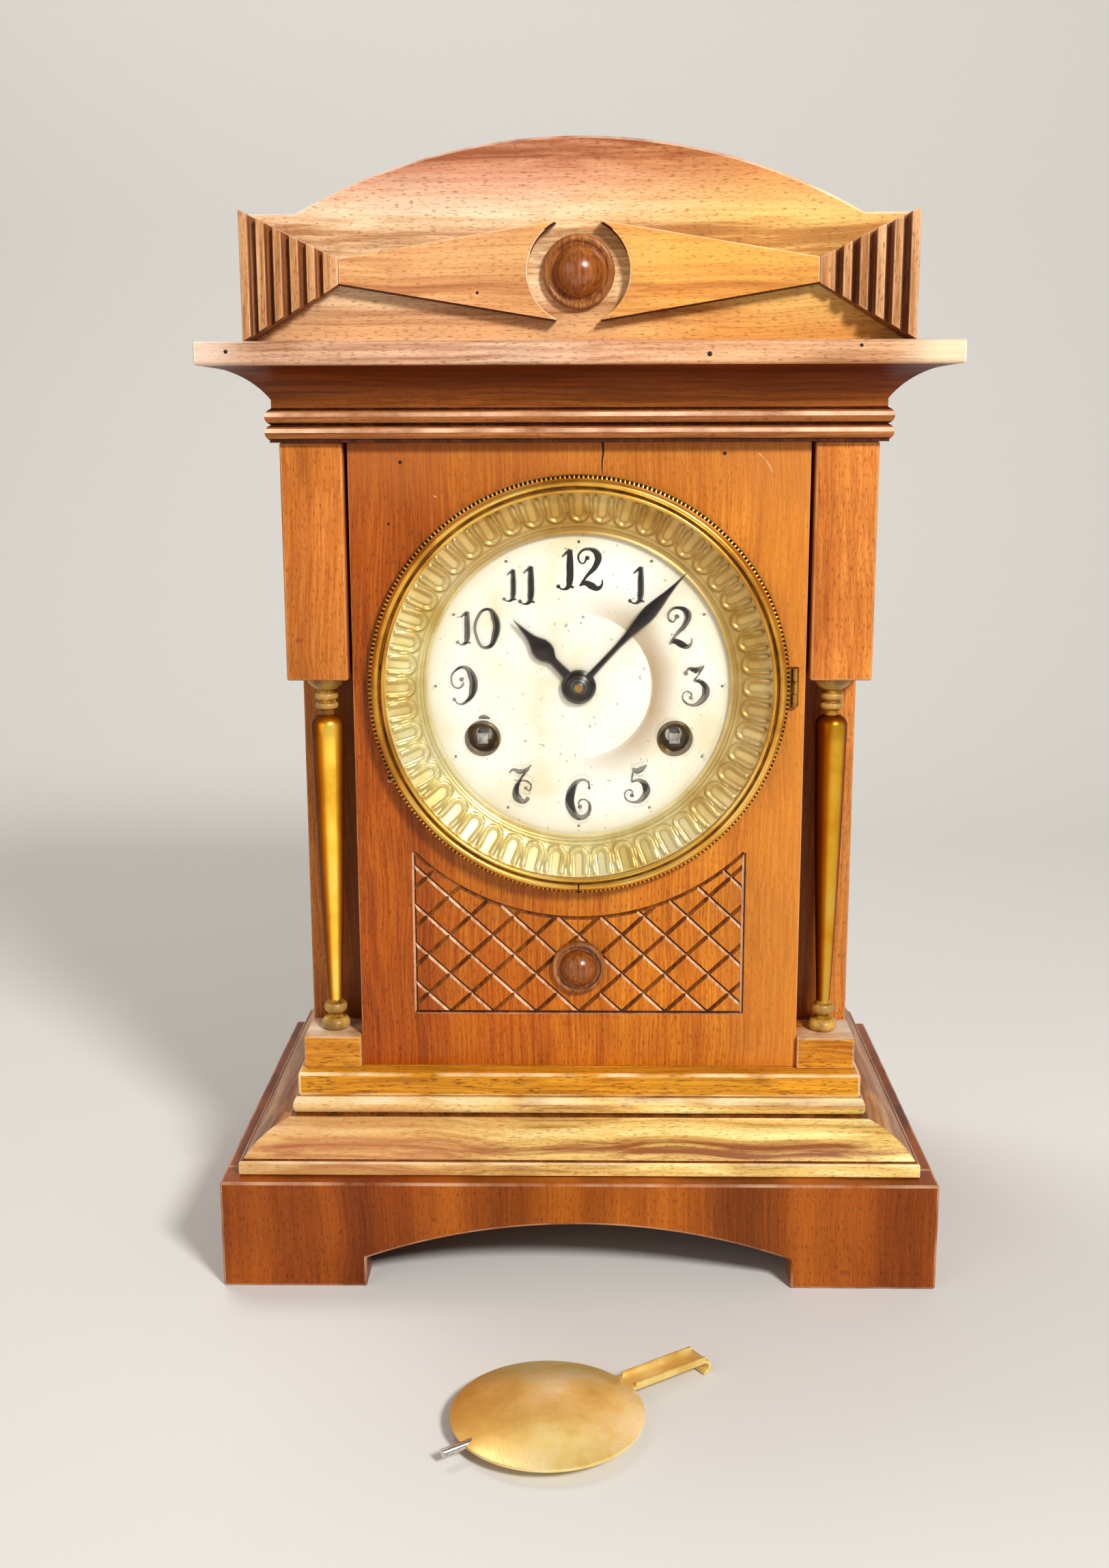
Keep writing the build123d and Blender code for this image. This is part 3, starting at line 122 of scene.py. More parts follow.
# Walnut under old shellac: long streaks along the grain, short dark pores, a soft gloss, rubbed pale edges
# and painted highlights.
# The tones are dark, middle and light wood, pores, and the pale tone of worn edges and painted highlights.
def makeWood(name, grain, tones, streak, band, **changes):
    look = {**woodLook, **changes}
    *woodTones, poreTone, wearAndSheenTone = tones.split()
    material, tree, coord = startMaterial(name)
    stretch = [look["stretch"] if axis == grain else 1 for axis in "XYZ"]
    poreStretch = [look["poreStretch"] if axis == grain else 1 for axis in "XYZ"]
    waver = addNode(tree, "TexNoise", {"Vector": coord, "Scale": 1000 / look["wave"], "Detail": 1})
    bent = addNode(tree, "VectorMath", {
        0: waver.outputs["Color"], 1: (look["sway"] * mm,) * 3, 2: coord}, operation="MULTIPLY_ADD")
    along = addNode(tree, "Mapping", {"Vector": bent.outputs[0], "Location": look["shift"], "Scale": stretch})
    streaks = addNode(tree, "TexNoise", {
        "Vector": along.outputs[0], "Scale": 1000 / streak, "Detail": 5, "Roughness": 0.62})
    bands = addNode(tree, "TexNoise", {"Vector": along.outputs[0], "Scale": 1000 / band, "Detail": 2})
    figure = addNode(tree, "Mix", {0: look["banding"], 2: streaks.outputs[0], 3: bands.outputs[0]})
    ramp = addNode(tree, "ValToRGB", {"Fac": figure.outputs[0]})
    setRamp(ramp, list(zip(look["stops"], woodTones)))
    poreMap = addNode(tree, "Mapping", {"Vector": coord, "Scale": poreStretch})
    pores = addNode(tree, "TexNoise", {
        "Vector": poreMap.outputs[0], "Scale": 1000 / look["pore"], "Detail": 1})
    poreMask = addNode(tree, "MapRange", {
        "Value": pores.outputs[0], "From Min": look["poreFrom"], "From Max": look["poreTo"],
        "To Max": look["poreDepth"]})
    poreColour = addNode(tree, "Mix", {
        0: poreMask.outputs[0], 6: ramp.outputs[0], 7: toLinear(poreTone)}, data_type="RGBA")
    clouds = addNode(tree, "TexNoise", {"Vector": coord, "Scale": 1000 / look["cloud"], "Detail": 3})
    shade = addNode(tree, "MapRange", {
        "Value": clouds.outputs[0], "From Min": look["cloudFrom"], "From Max": look["cloudTo"],
        "To Min": look["shadeDark"], "To Max": look["shadePale"]})
    shaded = addNode(tree, "VectorMath", {
        0: poreColour.outputs[2], "Scale": shade.outputs[0]}, operation="SCALE")
    tinted = shaded.outputs[0]
    for fade in look["fades"]:
        tinted = addFade(tree, coord, clouds, tinted, *fade)
    edge = addNode(tree, "Attribute", attribute_name="wearAndSheen")
    rubbed = addNode(tree, "TexNoise", {"Vector": coord, "Scale": 1000 / look["rubPatch"], "Detail": 5})
    rubMask = addNode(tree, "MapRange", {
        "Value": rubbed.outputs[0], "From Min": look["rubFrom"], "From Max": look["rubTo"],
        "To Max": look["rub"]})
    rubAmount = addNode(tree, "Math", {0: rubMask.outputs[0], 1: edge.outputs["Fac"]}, operation="MULTIPLY")
    colour = addNode(tree, "Mix", {
        0: rubAmount.outputs[0], 6: tinted, 7: toLinear(wearAndSheenTone)}, data_type="RGBA")
    rough = addNode(tree, "MapRange", {
        "Value": clouds.outputs[0], "From Min": look["cloudFrom"], "From Max": look["cloudTo"],
        "To Min": look["gloss"] - look["glossier"], "To Max": look["gloss"] + look["duller"]})
    relief = addNode(tree, "Math", {
        0: poreMask.outputs[0], 1: look["poreSink"], 2: streaks.outputs[0]}, operation="MULTIPLY_ADD")
    bump = addNode(tree, "Bump", {
        "Height": relief.outputs[0], "Strength": look["relief"], "Distance": look["reliefDepth"] * mm})
    shader = addNode(tree, "BsdfPrincipled", {
        "Base Color": colour.outputs[2], "Roughness": rough.outputs[0], "Normal": bump.outputs[0],
        "IOR": 1.5, "Specular IOR Level": look["shine"], "Coat Weight": look["coat"],
        "Coat Roughness": look["coatRough"]})
    closeMaterial(tree, shader)
    return material


# what a metal has where it says nothing else, with sizes in millimetres;
# the scratches are drawn coarser than real ones, so that they show
metalLook = {"stops": (0.36, 0.50, 0.68), "patchFrom": 0.3, "patchTo": 0.7, "duller": 0.10, "glossier": 0.06,
             "brush": (1, 1, 0.08), "scratch": 0.7, "relief": 0.08, "reliefDepth": 0.12, "metallic": 1.0,
             "coat": 0.0, "edge": "#ffffff", "fades": ()}


# Sheet and cast metal: a polished ground, darker tarnish in soft patches, fine scratches from handling.
# The tones are tarnish, ground and bright metal.
def makeMetal(name, tones, patch, rough, **changes):
    look = {**metalLook, **changes}
    material, tree, coord = startMaterial(name)
    patches = addNode(tree, "TexNoise", {
        "Vector": coord, "Scale": 1000 / patch, "Detail": 5, "Roughness": 0.6})
    ramp = addNode(tree, "ValToRGB", {"Fac": patches.outputs[0]})
    setRamp(ramp, list(zip(look["stops"], tones.split())))
    colour = ramp.outputs[0]
    for fade in look["fades"]:
        colour = addFade(tree, coord, patches, colour, *fade)
    # painted shade, mixed in where the surface's attribute marks it
    if "dirt" in look:
        dirt = addNode(tree, "Attribute", attribute_name="dirt")
        colour = addNode(tree, "Mix", {
            0: dirt.outputs["Fac"], 6: colour, 7: toLinear(look["dirt"])}, data_type="RGBA").outputs[2]
    # painted light: a ramp by which way the surface faces, a painted highlight where it faces the given way
    # and painted shade where it turns away
    if "polished" in look:
        normal = addNode(tree, "NewGeometry").outputs["Normal"]
        facing = addNode(tree, "VectorMath", {0: normal, 1: look["polished"]}, operation="DOT_PRODUCT")
        paintedLightRamp = addNode(tree, "ValToRGB", {"Fac": facing.outputs["Value"]})
        setRamp(paintedLightRamp, look["sides"])
        colour = addNode(tree, "Mix", {
            0: 1.0, 6: colour, 7: paintedLightRamp.outputs[0]}, data_type="RGBA", blend_type="MULTIPLY").outputs[2]
    scratchMap = addNode(tree, "Mapping", {"Vector": coord, "Scale": look["brush"]})
    scratches = addNode(tree, "TexNoise", {
        "Vector": scratchMap.outputs[0], "Scale": 1000 / look["scratch"], "Detail": 3})
    dulled = addNode(tree, "MapRange", {
        "Value": patches.outputs[0], "From Min": look["patchFrom"], "From Max": look["patchTo"],
        "To Min": rough + look["duller"], "To Max": rough - look["glossier"]})
    bump = addNode(tree, "Bump", {
        "Height": scratches.outputs[0], "Strength": look["relief"], "Distance": look["reliefDepth"] * mm})
    shader = addNode(tree, "BsdfPrincipled", {
        "Base Color": colour, "Metallic": look["metallic"], "Roughness": dulled.outputs[0],
        "Normal": bump.outputs[0], "Coat Weight": look["coat"], "Specular Tint": toLinear(look["edge"])})
    closeMaterial(tree, shader)
    return material


dialLook = {"white": "#f8f6ea", "cream": "#f3edda", "aged": "#e9dcb8", "halo": "#a07c4c", "rim": "#d8cea8",
            "speck": "#7d6140", "stops": (0.34, 0.47, 0.62), "cloud": 26, "ring": 26.0, "haloWidth": 13,
            "haloFrom": -4, "haloTo": 26, "haloShare": 0.85, "rimFrom": 44, "rimTo": 56, "rimShare": 0.55,
            "speckSize": 1.6, "speckFrom": 0.79, "speckTo": 0.84, "speckShare": 0.7, "rough": 0.42,
            "relief": 0.05, "reliefDepth": 0.3}


# Painted dial: cream ground gone yellow in soft clouds, browner round the raised middle on its right side,
# with rust specks
def makeDialPaint(name, look):
    material, tree, coord = startMaterial(name)
    centred = addNode(tree, "VectorMath", {0: coord, 1: dialCentre}, operation="SUBTRACT")
    flat = addNode(tree, "VectorMath", {0: centred.outputs[0], 1: (1, 0, 1)}, operation="MULTIPLY")
    radius = addNode(tree, "VectorMath", {0: flat.outputs[0]}, operation="LENGTH").outputs["Value"]
    axes = addNode(tree, "SeparateXYZ", {0: flat.outputs[0]})
    clouds = addNode(tree, "TexNoise", {"Vector": coord, "Scale": 1000 / look["cloud"], "Detail": 4})
    ramp = addNode(tree, "ValToRGB", {"Fac": clouds.outputs[0]})
    setRamp(ramp, list(zip(look["stops"], (look["aged"], look["cream"], look["white"]))))
    ring = look["ring"] * mm
    outside = addNode(tree, "MapRange", {
        "Value": radius, "From Min": ring, "From Max": ring + look["haloWidth"] * mm,
        "To Min": 1.0, "To Max": 0.0}, interpolation_type="SMOOTHSTEP")
    beyond = addNode(tree, "Math", {0: radius, 1: ring}, operation="GREATER_THAN")
    right = addNode(tree, "MapRange", {
        "Value": axes.outputs["X"], "From Min": look["haloFrom"] * mm, "From Max": look["haloTo"] * mm,
        "To Max": look["haloShare"]})
    halo = addNode(tree, "Math", {0: outside.outputs[0], 1: beyond.outputs[0]}, operation="MULTIPLY")
    haloSide = addNode(tree, "Math", {0: halo.outputs[0], 1: right.outputs[0]}, operation="MULTIPLY")
    haloed = addNode(tree, "Mix", {
        0: haloSide.outputs[0], 6: ramp.outputs[0], 7: toLinear(look["halo"])}, data_type="RGBA")
    rim = addNode(tree, "MapRange", {
        "Value": radius, "From Min": look["rimFrom"] * mm, "From Max": look["rimTo"] * mm,
        "To Max": look["rimShare"]}, interpolation_type="SMOOTHSTEP")
    edged = addNode(tree, "Mix", {
        0: rim.outputs[0], 6: haloed.outputs[2], 7: toLinear(look["rim"])}, data_type="RGBA")
    specks = addNode(tree, "TexNoise", {"Vector": coord, "Scale": 1000 / look["speckSize"], "Detail": 0})
    speckMask = addNode(tree, "MapRange", {
        "Value": specks.outputs[0], "From Min": look["speckFrom"], "From Max": look["speckTo"],
        "To Max": look["speckShare"]})
    colour = addNode(tree, "Mix", {
        0: speckMask.outputs[0], 6: edged.outputs[2], 7: toLinear(look["speck"])}, data_type="RGBA")
    bump = addNode(tree, "Bump", {
        "Height": clouds.outputs[0], "Strength": look["relief"], "Distance": look["reliefDepth"] * mm})
    shader = addNode(tree, "BsdfPrincipled", {
        "Base Color": colour.outputs[2], "Roughness": look["rough"], "Normal": bump.outputs[0], "IOR": 1.5})
    closeMaterial(tree, shader)
    return material


# Old window glass, blown and polished: clear, with a faint warm tint and a mirror-like surface
def makeGlass(name, look):
    material, tree, coord = startMaterial(name)
    waves = addNode(tree, "TexNoise", {"Vector": coord, "Scale": 1000 / look["wave"], "Detail": 1})
    bump = addNode(tree, "Bump", {
        "Height": waves.outputs[0], "Strength": look["relief"], "Distance": look["reliefDepth"] * mm})
    shader = addNode(tree, "BsdfPrincipled", {
        "Base Color": toLinear(look["tint"]), "Roughness": look["rough"], "IOR": 1.5,
        "Transmission Weight": 1.0, "Alpha": look["alpha"], "Normal": bump.outputs[0]})
    closeMaterial(tree, shader)
    material.surface_render_method = "BLENDED"
    return material


blackLook = {"film": 4, "stops": (0.42, 0.72), "relief": 0.06, "reliefDepth": 0.2}


# Japan black: thick black enamel on steel, slightly brown where thin
def makeBlack(name, deep, thin, rough):
    look = blackLook
    material, tree, coord = startMaterial(name)
    film = addNode(tree, "TexNoise", {"Vector": coord, "Scale": 1000 / look["film"], "Detail": 4})
    ramp = addNode(tree, "ValToRGB", {"Fac": film.outputs[0]})
    setRamp(ramp, list(zip(look["stops"], (deep, thin))))
    bump = addNode(tree, "Bump", {
        "Height": film.outputs[0], "Strength": look["relief"], "Distance": look["reliefDepth"] * mm})
    shader = addNode(tree, "BsdfPrincipled", {
        "Base Color": ramp.outputs[0], "Roughness": rough, "Normal": bump.outputs[0], "IOR": 1.5})
    closeMaterial(tree, shader)
    return material


# fades are (axis, from, to, tint, amount), multiplied unless they say MIX
walnut = "#9c4e0c #c06c16 #d88a2a #6a3008 #d99a5c"
coveTones = "#6e3008 #964c12 #b4661e #6a3008 #d99a5c"
# painted shade: the cove darkens towards its top, under the slab
coveTopShade = [("Z", 312, 325, "#a87858", 0.95)]
golden = {"banding": 0.6, "sway": 22, "wave": 80, "rub": 0.5, "stretch": 0.014}
dusty = {"poreDepth": 0.7, "pore": 0.6}
woods = {
    # painted light on the panel: shade painted towards the left, light painted towards the right, and the top
    # drawn to one tone, painted light where the cornice shades it
    "panel": makeWood("walnut panel, varnished", "Z", walnut, 0.8, 16, banding=0.4, poreDepth=0.6, fades=[
        ("X", 30, -70, "#d2ac84", 0.85), ("Z", 150, 84, "#fff0a8", 0.7),
        ("X", 40, 76, "#dc9038", 0.4, "MIX"), ("Z", 264, 300, "#b06830", 0.45, "MIX")]),
    "block": makeWood(
        "walnut block, varnished", "Z", "#a0541c #c06c26 #d8883a #6a3008 #d99a5c", 0.9, 12,
        shift=(0.3, 0.1, 0.0), poreDepth=0.6),
    "post": makeWood(
        "walnut corner post, shaded", "Z", "#6e340e #8a4614 #a05a20 #6a3008 #d99a5c", 0.9, 9,
        shift=(0.6, 0.3, 0.0)),
    "pediment": makeWood(
        "walnut pediment, faded", "X", "#b07c50 #e8c498 #fce6c0 #7a4420 #f7e0c4", 1.3, 16, banding=0.6,
        shift=(0, 0.2, 0.03), sway=14, wave=100, stretch=0.018, fades=[
            ("X", -30, 70, "#fff0a4", 0.9), ("Z", 366, 390, "#d9aba6", 0.95),
            ("Z", 352, 336, "#e4b890", 0.8)]),
    "bow": makeWood(
        "walnut overlay, golden", "X", "#a4643a #ca8c58 #e0ac70 #84481c #f8dcb4", 1.3, 13, banding=0.5,
        shift=(0.5, 0.2, 0.11), sway=10, wave=90, stretch=0.018, fades=[("X", -40, 50, "#fff0a0", 0.9)]),
    "reed": makeWood(
        "walnut reeds, varnished", "Z", "#98602f #c48a56 #deae7e #6a3008 #f6dcc0", 1.4, 8,
        shift=(0.7, 0, 0.2), rub=0.35),
    "slab": makeWood(
        "walnut slab, rubbed", "X", "#a06c48 #d0a080 #ecc8a6 #6d3d1c #fbe9d2", 1.6, 22,
        shift=(0.1, 0.4, 0), rub=0.8, fades=[
            ("X", -20, 60, "#fff0cc", 0.7), ("X", 98, 122, "#fdf0cc", 0.5, "MIX"),
            ("X", -104, -124, "#f6e2cc", 0.5, "MIX")]),
    "cornice": makeWood("walnut cornice", "X", coveTones, 1.6, 12, shift=(0.2, 0.7, 0.1), fades=coveTopShade),
    "corniceSide": makeWood("walnut cornice, return", "Y", coveTones, 1.6, 12, fades=coveTopShade),
    "bead": makeWood(
        "walnut beads, rubbed", "X", "#763e16 #985826 #b47644 #6a3008 #f4c8a4", 1.4, 16, rub=0.9),
    "board": makeWood(
        "walnut base board, golden", "X", "#a8640e #d48e1c #ecac38 #6e3c0c #f4d6a4", 1.0, 10,
        shift=(0.8, 0.1, 0.4), rub=0.85, **dusty),
    "pedestal": makeWood(
        "walnut pedestal, dusty on top", "X", "#9c560e #c47c1a #dc9a32 #6e3c0c #ece0c8", 1.0, 10,
        shift=(0.3, 0.6, 0.4), rub=0.8, **dusty),
    "mould": makeWood(
        "walnut base moulding, golden", "X", "#8c4c20 #e4bc68 #fce69c #7a4216 #f8e8c4", 2.2, 7,
        shift=(0.4, 0.0, 0.7), fades=[("X", 30, -100, "#bc7450", 0.5, "MIX")], **golden),
    "mouldSide": makeWood(
        "walnut base moulding, return", "Y", "#6a3818 #a06434 #c89258 #7a4216 #f8e8c4", 2.2, 7, **golden),
    "plinth": makeWood(
        "walnut plinth, red-brown", "Z", "#6e320a #984c12 #b8641c #4a2008 #dcb08c", 0.9, 30, banding=0.75,
        shift=(0.15, 0.3, 0.5), shine=0.16, coat=0.03, fades=[
            ("X", 10, -80, "#e4d0cc", 0.9), ("X", 60, 110, "#dcc8c0", 0.8)]),
    "boss": makeWood(
        "turned boss, copper brown", "Z", "#5a2a0c #8a4816 #b46a2a #2c1206 #c58a5c", 1.0, 6, gloss=0.26,
        coat=0.3, shine=0.4, poreDepth=0.25),
    "bossRim": makeWood(
        "turned boss rim, worn brown", "Z", "#6a3a18 #92562a #b87c46 #4a2410 #e4b88c", 1.0, 6, gloss=0.3),
    "turned": makeWood(
        "turned rings, bronzed, painted highlight on the crests", "Z", "#5a3408 #8e5c14 #bc8a2e #3a2008 #e2bc6c", 3.0, 5,
        banding=0.7, stretch=0.8, gloss=0.28, coat=0.12, rub=0.5),
    "plain": makeWood(
        "pine carcase, oiled", "Z", "#8d6338 #ab7f4c #c49a64 #6d4824 #d8b98c", 2.0, 22, gloss=0.6, coat=0.0),
    "groove": makeWood(
        "groove, old dirt in walnut", "Z", "#54280a #783e12 #94541e #2a1207 #925324", 1.2, 6, gloss=0.42),
    "groovePale": makeWood(
        "groove flank with painted highlight, and pale scratches", "Z", "#b4784c #d4a078 #eac4a0 #8a5430 #f6d6b4", 1.2, 6, gloss=0.42),
    "grooveDeep": makeWood(
        "groove, shaded flank", "Z", "#280f04 #40190a #5a2a10 #1a0a04 #40190a", 1.2, 6, gloss=0.5, coat=0.0,
        shine=0.15),
    "fluteSide": makeWood(
        "flute, side in shade", "Z", "#6a3a1a #8e5630 #aa7048 #4a2410 #aa7048", 1.2, 6, gloss=0.5, coat=0.0,
        shine=0.2),
}
metals = {
    "brass": makeMetal("brass, tarnished", "#8a5f26 #b98b3d #d3a94f", 9, 0.30),
    "bezel": makeMetal("bezel brass, lacquered", "#c48a2c #f0bc4c #ffdc7c", 22, 0.24, coat=0.1, metallic=0.8,
                       fades=[("X", 20, 80, "#ecd0ac", 0.7), ("X", -40, -74, "#e8cc98", 0.8)]),
    "groove": makeMetal("bezel groove, browned brass", "#54340e #7c4e16 #a06c24", 5, 0.4, metallic=0.5),
    "column": makeMetal(
        "column shaft, gilded, browned at the sides", "#eab030 #ffcf48 #ffe070", 26, 0.22, metallic=0.6,
        # painted shade: the right column is darker
        brush=(1, 1, 0.02), fades=[("X", 40, 95, "#bca67a", 0.85)], edge="#7a4e1c",
        # a painted highlight down the front of the shaft and painted shade round its sides
        polished=(0.32, -0.947, 0),
        sides=((0.0, "#5e3a1c"), (0.62, "#96601e"), (0.82, "#d49a38"), (0.95, "#ffffff"))),
    "grommet": makeMetal("grommet brass, browned", "#33240f #56401e #8c6c36", 5, 0.28),
    # painted shade on the sight ring: darker towards the right and towards the top
    "gilt": makeMetal(
        "sight ring, gilded brass, dirt round the stamping", "#d8b864 #f4e4a0 #fff8cc", 20, 0.28,
        metallic=0.6, dirt="#7c6424", fades=[
            ("X", 10, 70, "#d8b488", 0.7), ("Z", 225, 275, "#d8a860", 0.7)]),
    "bob": makeMetal(
        "bob brass, spun and tarnished", "#e4bc64 #f8dc8a #fff4c4", 24, 0.28, relief=0.3, scratch=0.5,
        brush=(1, 0.12, 1), metallic=0.55, fades=[("X", -4, -44, "#e0bc80", 0.75)]),
    "wheel": makeMetal("wheel brass, cut", "#b08a40 #c29a4c #d2ae5a", 40, 0.34, relief=0.03),
    "steel": makeMetal("steel, dull", "#6d6a66 #9c9a98 #bdbcba", 5, 0.30),
    "square": makeMetal("winding square, bright steel", "#a09a92 #cfcac4 #f0eeea", 3, 0.2),
    "gong": makeMetal("gong steel, oiled", "#3d3a38 #5f5c5a #7b7976", 6, 0.34),
}
blackEnamel = makeBlack("japan black on steel", "#120d0b", "#33231b", 0.28)
numeralInk = makeBlack("numeral ink, black", "#0e0907", "#261a12", 0.5)
holeShade = makeBlack("old hole, dark", "#140a05", "#26140a", 0.8)
dialPaint = makeDialPaint("dial paint, aged cream", dialLook)
paneGlass = makeGlass("pane glass, clear", {
    "tint": "#fdfbf2", "alpha": 0.16, "rough": 0.03, "wave": 30, "relief": 0.05, "reliefDepth": 0.4})
print("materials made")


# piece helpers
def linkObject(name, data):
    made = bpy.data.objects.new(name, data)
    bpy.context.scene.collection.objects.link(made)
    return made


def toMesh(name, bm, materials=()):
    mesh = bpy.data.meshes.new(name)
    bm.to_mesh(mesh)
    bm.free()
    for material in materials:
        mesh.materials.append(material)
    return mesh


# edges that turn by more than the sharp angle stay hard, and an angle of 0 leaves every face flat
def finishPiece(name, bm, materials, body, replaced=(), sharp=38, weighted=False):
    for face in bm.faces:
        face.smooth = sharp > 0
    for edge in bm.edges:
        edge.smooth = edge.calc_face_angle(0) < math.radians(sharp)
    piece = linkObject(name, toMesh(name, bm, materials))
    if weighted:
        normals = piece.modifiers.new("even shading", "WEIGHTED_NORMAL")
        normals.keep_sharp = True
    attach(piece, body)
    if replaced:
        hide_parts(*replaced)
    return piece


def copyNode(nodeName):
    mesh = nodes[nodeName].data.copy()
    stored = mesh.attributes.get("custom_normal")
    if stored:
        mesh.attributes.remove(stored)
    bm = bmesh.new()
    bm.from_mesh(mesh)
    bpy.data.meshes.remove(mesh)
    bmesh.ops.remove_doubles(bm, verts=bm.verts, dist=weld)
    bmesh.ops.dissolve_limit(bm, angle_limit=math.radians(1), verts=bm.verts, edges=bm.edges)
    for face in bm.faces:
        face.material_index = 0
    return bm


def wearAndSheenLayer(bm):
    return bm.faces.layers.float.get("wearAndSheen") or bm.faces.layers.float.new("wearAndSheen")


# rounds every sharp edge and marks the new faces as rubbed
def softenEdges(bm, rounding, segments=2, angle=30):
    wearAndSheen = wearAndSheenLayer(bm)
    sharp = [e for e in bm.edges if len(e.link_faces) == 2 and e.calc_face_angle() > math.radians(angle)]
    made = bmesh.ops.bevel(bm, geom=sharp, offset=rounding * mm, offset_type="OFFSET", segments=segments,
                           profile=0.5, affect="EDGES", clamp_overlap=True, material=-1)
    for face in made["faces"]:
        face[wearAndSheen] = 1.0


# a board that keeps its CAD outline, with its edges rounded
def dressBoard(nodeName, pieceName, wood, rounding, segments=2, body="case"):
    bm = copyNode(nodeName)
    softenEdges(bm, rounding, segments)
    return finishPiece(pieceName, bm, [woods[wood]], body, [nodeName], weighted=True)


# turns a closed profile of (radius, way along the axis) pairs in millimetres
def turnProfile(points, centre, axis, steps):
    bm = bmesh.new()
    ring = [bm.verts.new(centre + Vector((r, 0, 0)) * mm + axis * a * mm) for r, a in points]
    edges = [bm.edges.new(pair) for pair in zip(ring, ring[1:])]
    edges.append(bm.edges.new((ring[-1], ring[0])))
    bmesh.ops.spin(bm, geom=ring + edges, cent=centre, axis=axis, dvec=(0, 0, 0), angle=2 * math.pi,
                   steps=steps, use_merge=True, use_duplicate=False)
    bmesh.ops.remove_doubles(bm, verts=bm.verts, dist=weld)
    bmesh.ops.recalc_face_normals(bm, faces=bm.faces)
    return bm


# points of an arc, in degrees
def arcPoints(x, y, radius, start, end, count):
    turns = [math.radians(start + (end - start) * i / count) for i in range(count + 1)]
    return [(x + radius * math.cos(t), y + radius * math.sin(t)) for t in turns]


# points of the arc through three points
def arcThrough(first, middle, last, count):
    (ax, ay), (bx, by), (cx, cy) = first, middle, last
    d = 2 * (ax * (by - cy) + bx * (cy - ay) + cx * (ay - by))
    a, b, c = (px * px + py * py for px, py in (first, middle, last))
    x = (a * (by - cy) + b * (cy - ay) + c * (ay - by)) / d
    y = (a * (cx - bx) + b * (ax - cx) + c * (bx - ax)) / d
    angles = [math.degrees(math.atan2(py - y, px - x)) for px, py in (first, middle, last)]
    sweep = (angles[2] - angles[0]) % 360
    if (angles[1] - angles[0]) % 360 > sweep:
        sweep -= 360
    return arcPoints(x, y, math.dist(first, (x, y)), angles[0], angles[0] + sweep, count)


# radius and half angle of the cap with this half width and rise
def capArc(half, rise):
    size = (half * half + rise * rise) / (2 * rise)
    return size, math.degrees(math.asin(min(1.0, half / size)))


def joinInto(bm, other, material=None):
    if material is not None:
        for face in other.faces:
            face.material_index = material
    mesh = toMesh("joined", other)
    bm.from_mesh(mesh)
    bpy.data.meshes.remove(mesh)


# cuts a closed mesh out of a piece; the cut's faces take the lining
def cutAway(piece, cutter, lining=None):
    tool = linkObject("cutter", toMesh("cutter", cutter, [lining] if lining else []))
    cut = piece.modifiers.new("cut", "BOOLEAN")
    cut.object = tool
    cut.operation = "DIFFERENCE"
    cut.solver = "EXACT"
    if lining:
        cut.use_self = True
        cut.material_mode = "TRANSFER"
    graph = bpy.context.evaluated_depsgraph_get()
    result = bpy.data.meshes.new_from_object(piece.evaluated_get(graph))
    piece.modifiers.remove(cut)
    piece.data = result
    bpy.data.objects.remove(tool)


# a moulding mitred round the front and both sides, from a closed profile of (way in from the face, height)
def mitredMoulding(profile, nodeName):
    low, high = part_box(nodeName)
    half, yFront, yBack = high.x / mm, low.y / mm, high.y / mm
    bm = bmesh.new()
    loops = []
    for station in range(4):
        side = -1 if station < 2 else 1
        ring = []
        for inset, height in profile:
            y = yBack if station in (0, 3) else yFront + inset
            ring.append(bm.verts.new(Vector((side * (half - inset), y, height)) * mm))
        edges = [bm.edges.new(pair) for pair in zip(ring, ring[1:] + ring[:1])]
        loops.append((ring, edges))
    for station in range(3):
        made = bmesh.ops.bridge_loops(bm, edges=loops[station][1] + loops[station + 1][1])
        for face in made["faces"]:
            face.material_index = 0 if station == 1 else 1
    for ring, _ in (loops[0], loops[3]):
        bm.faces.new(ring).material_index = 1
    bmesh.ops.recalc_face_normals(bm, faces=bm.faces)
    return bm


# marks the faces of a moulding whose middle lies within a height band, so that they take the pale tone
def rubBands(bm, bandsOfHeight):
    wearAndSheen = wearAndSheenLayer(bm)
    for face in bm.faces:
        height = face.calc_center_median().z / mm
        if any(low <= height <= high for low, high in bandsOfHeight):
            face[wearAndSheen] = 1.0


# a face looks up or down where its normal rises or falls by more than this
slant = 0.3


# painted shade on the faces that look down
def shadeBelow(bm, material):
    for face in bm.faces:
        if face.normal.z < -slant:
            face.material_index = material


# plinth and base: the ovolo and the bead are arcs through three points of (way in, height)
baseMoulding = {"back": 34.0, "bottom": 40.0, "top": 63.0, "fillet": 3.0, "chamfer": (0.5, 0.6), "nose": 0.9,
                "filletTop": 45.5, "ovolo": ((4.5, 46.0), (11.925, 53.2), (21.0, 56.5)), "quirkEdge": 21.5,
                "bead": ((21.6, 56.55), (20.35, 59.75), (21.6, 63.0)), "rubbed": ((44.2, 45.6), (60.6, 62.9)),
                "dirtLines": (40.3, 45.75, 56.7), "dirtReach": 0.4}
pedestal = {"rounding": 0.8, "edgeWear": 0.3, "topFrom": 0.5}


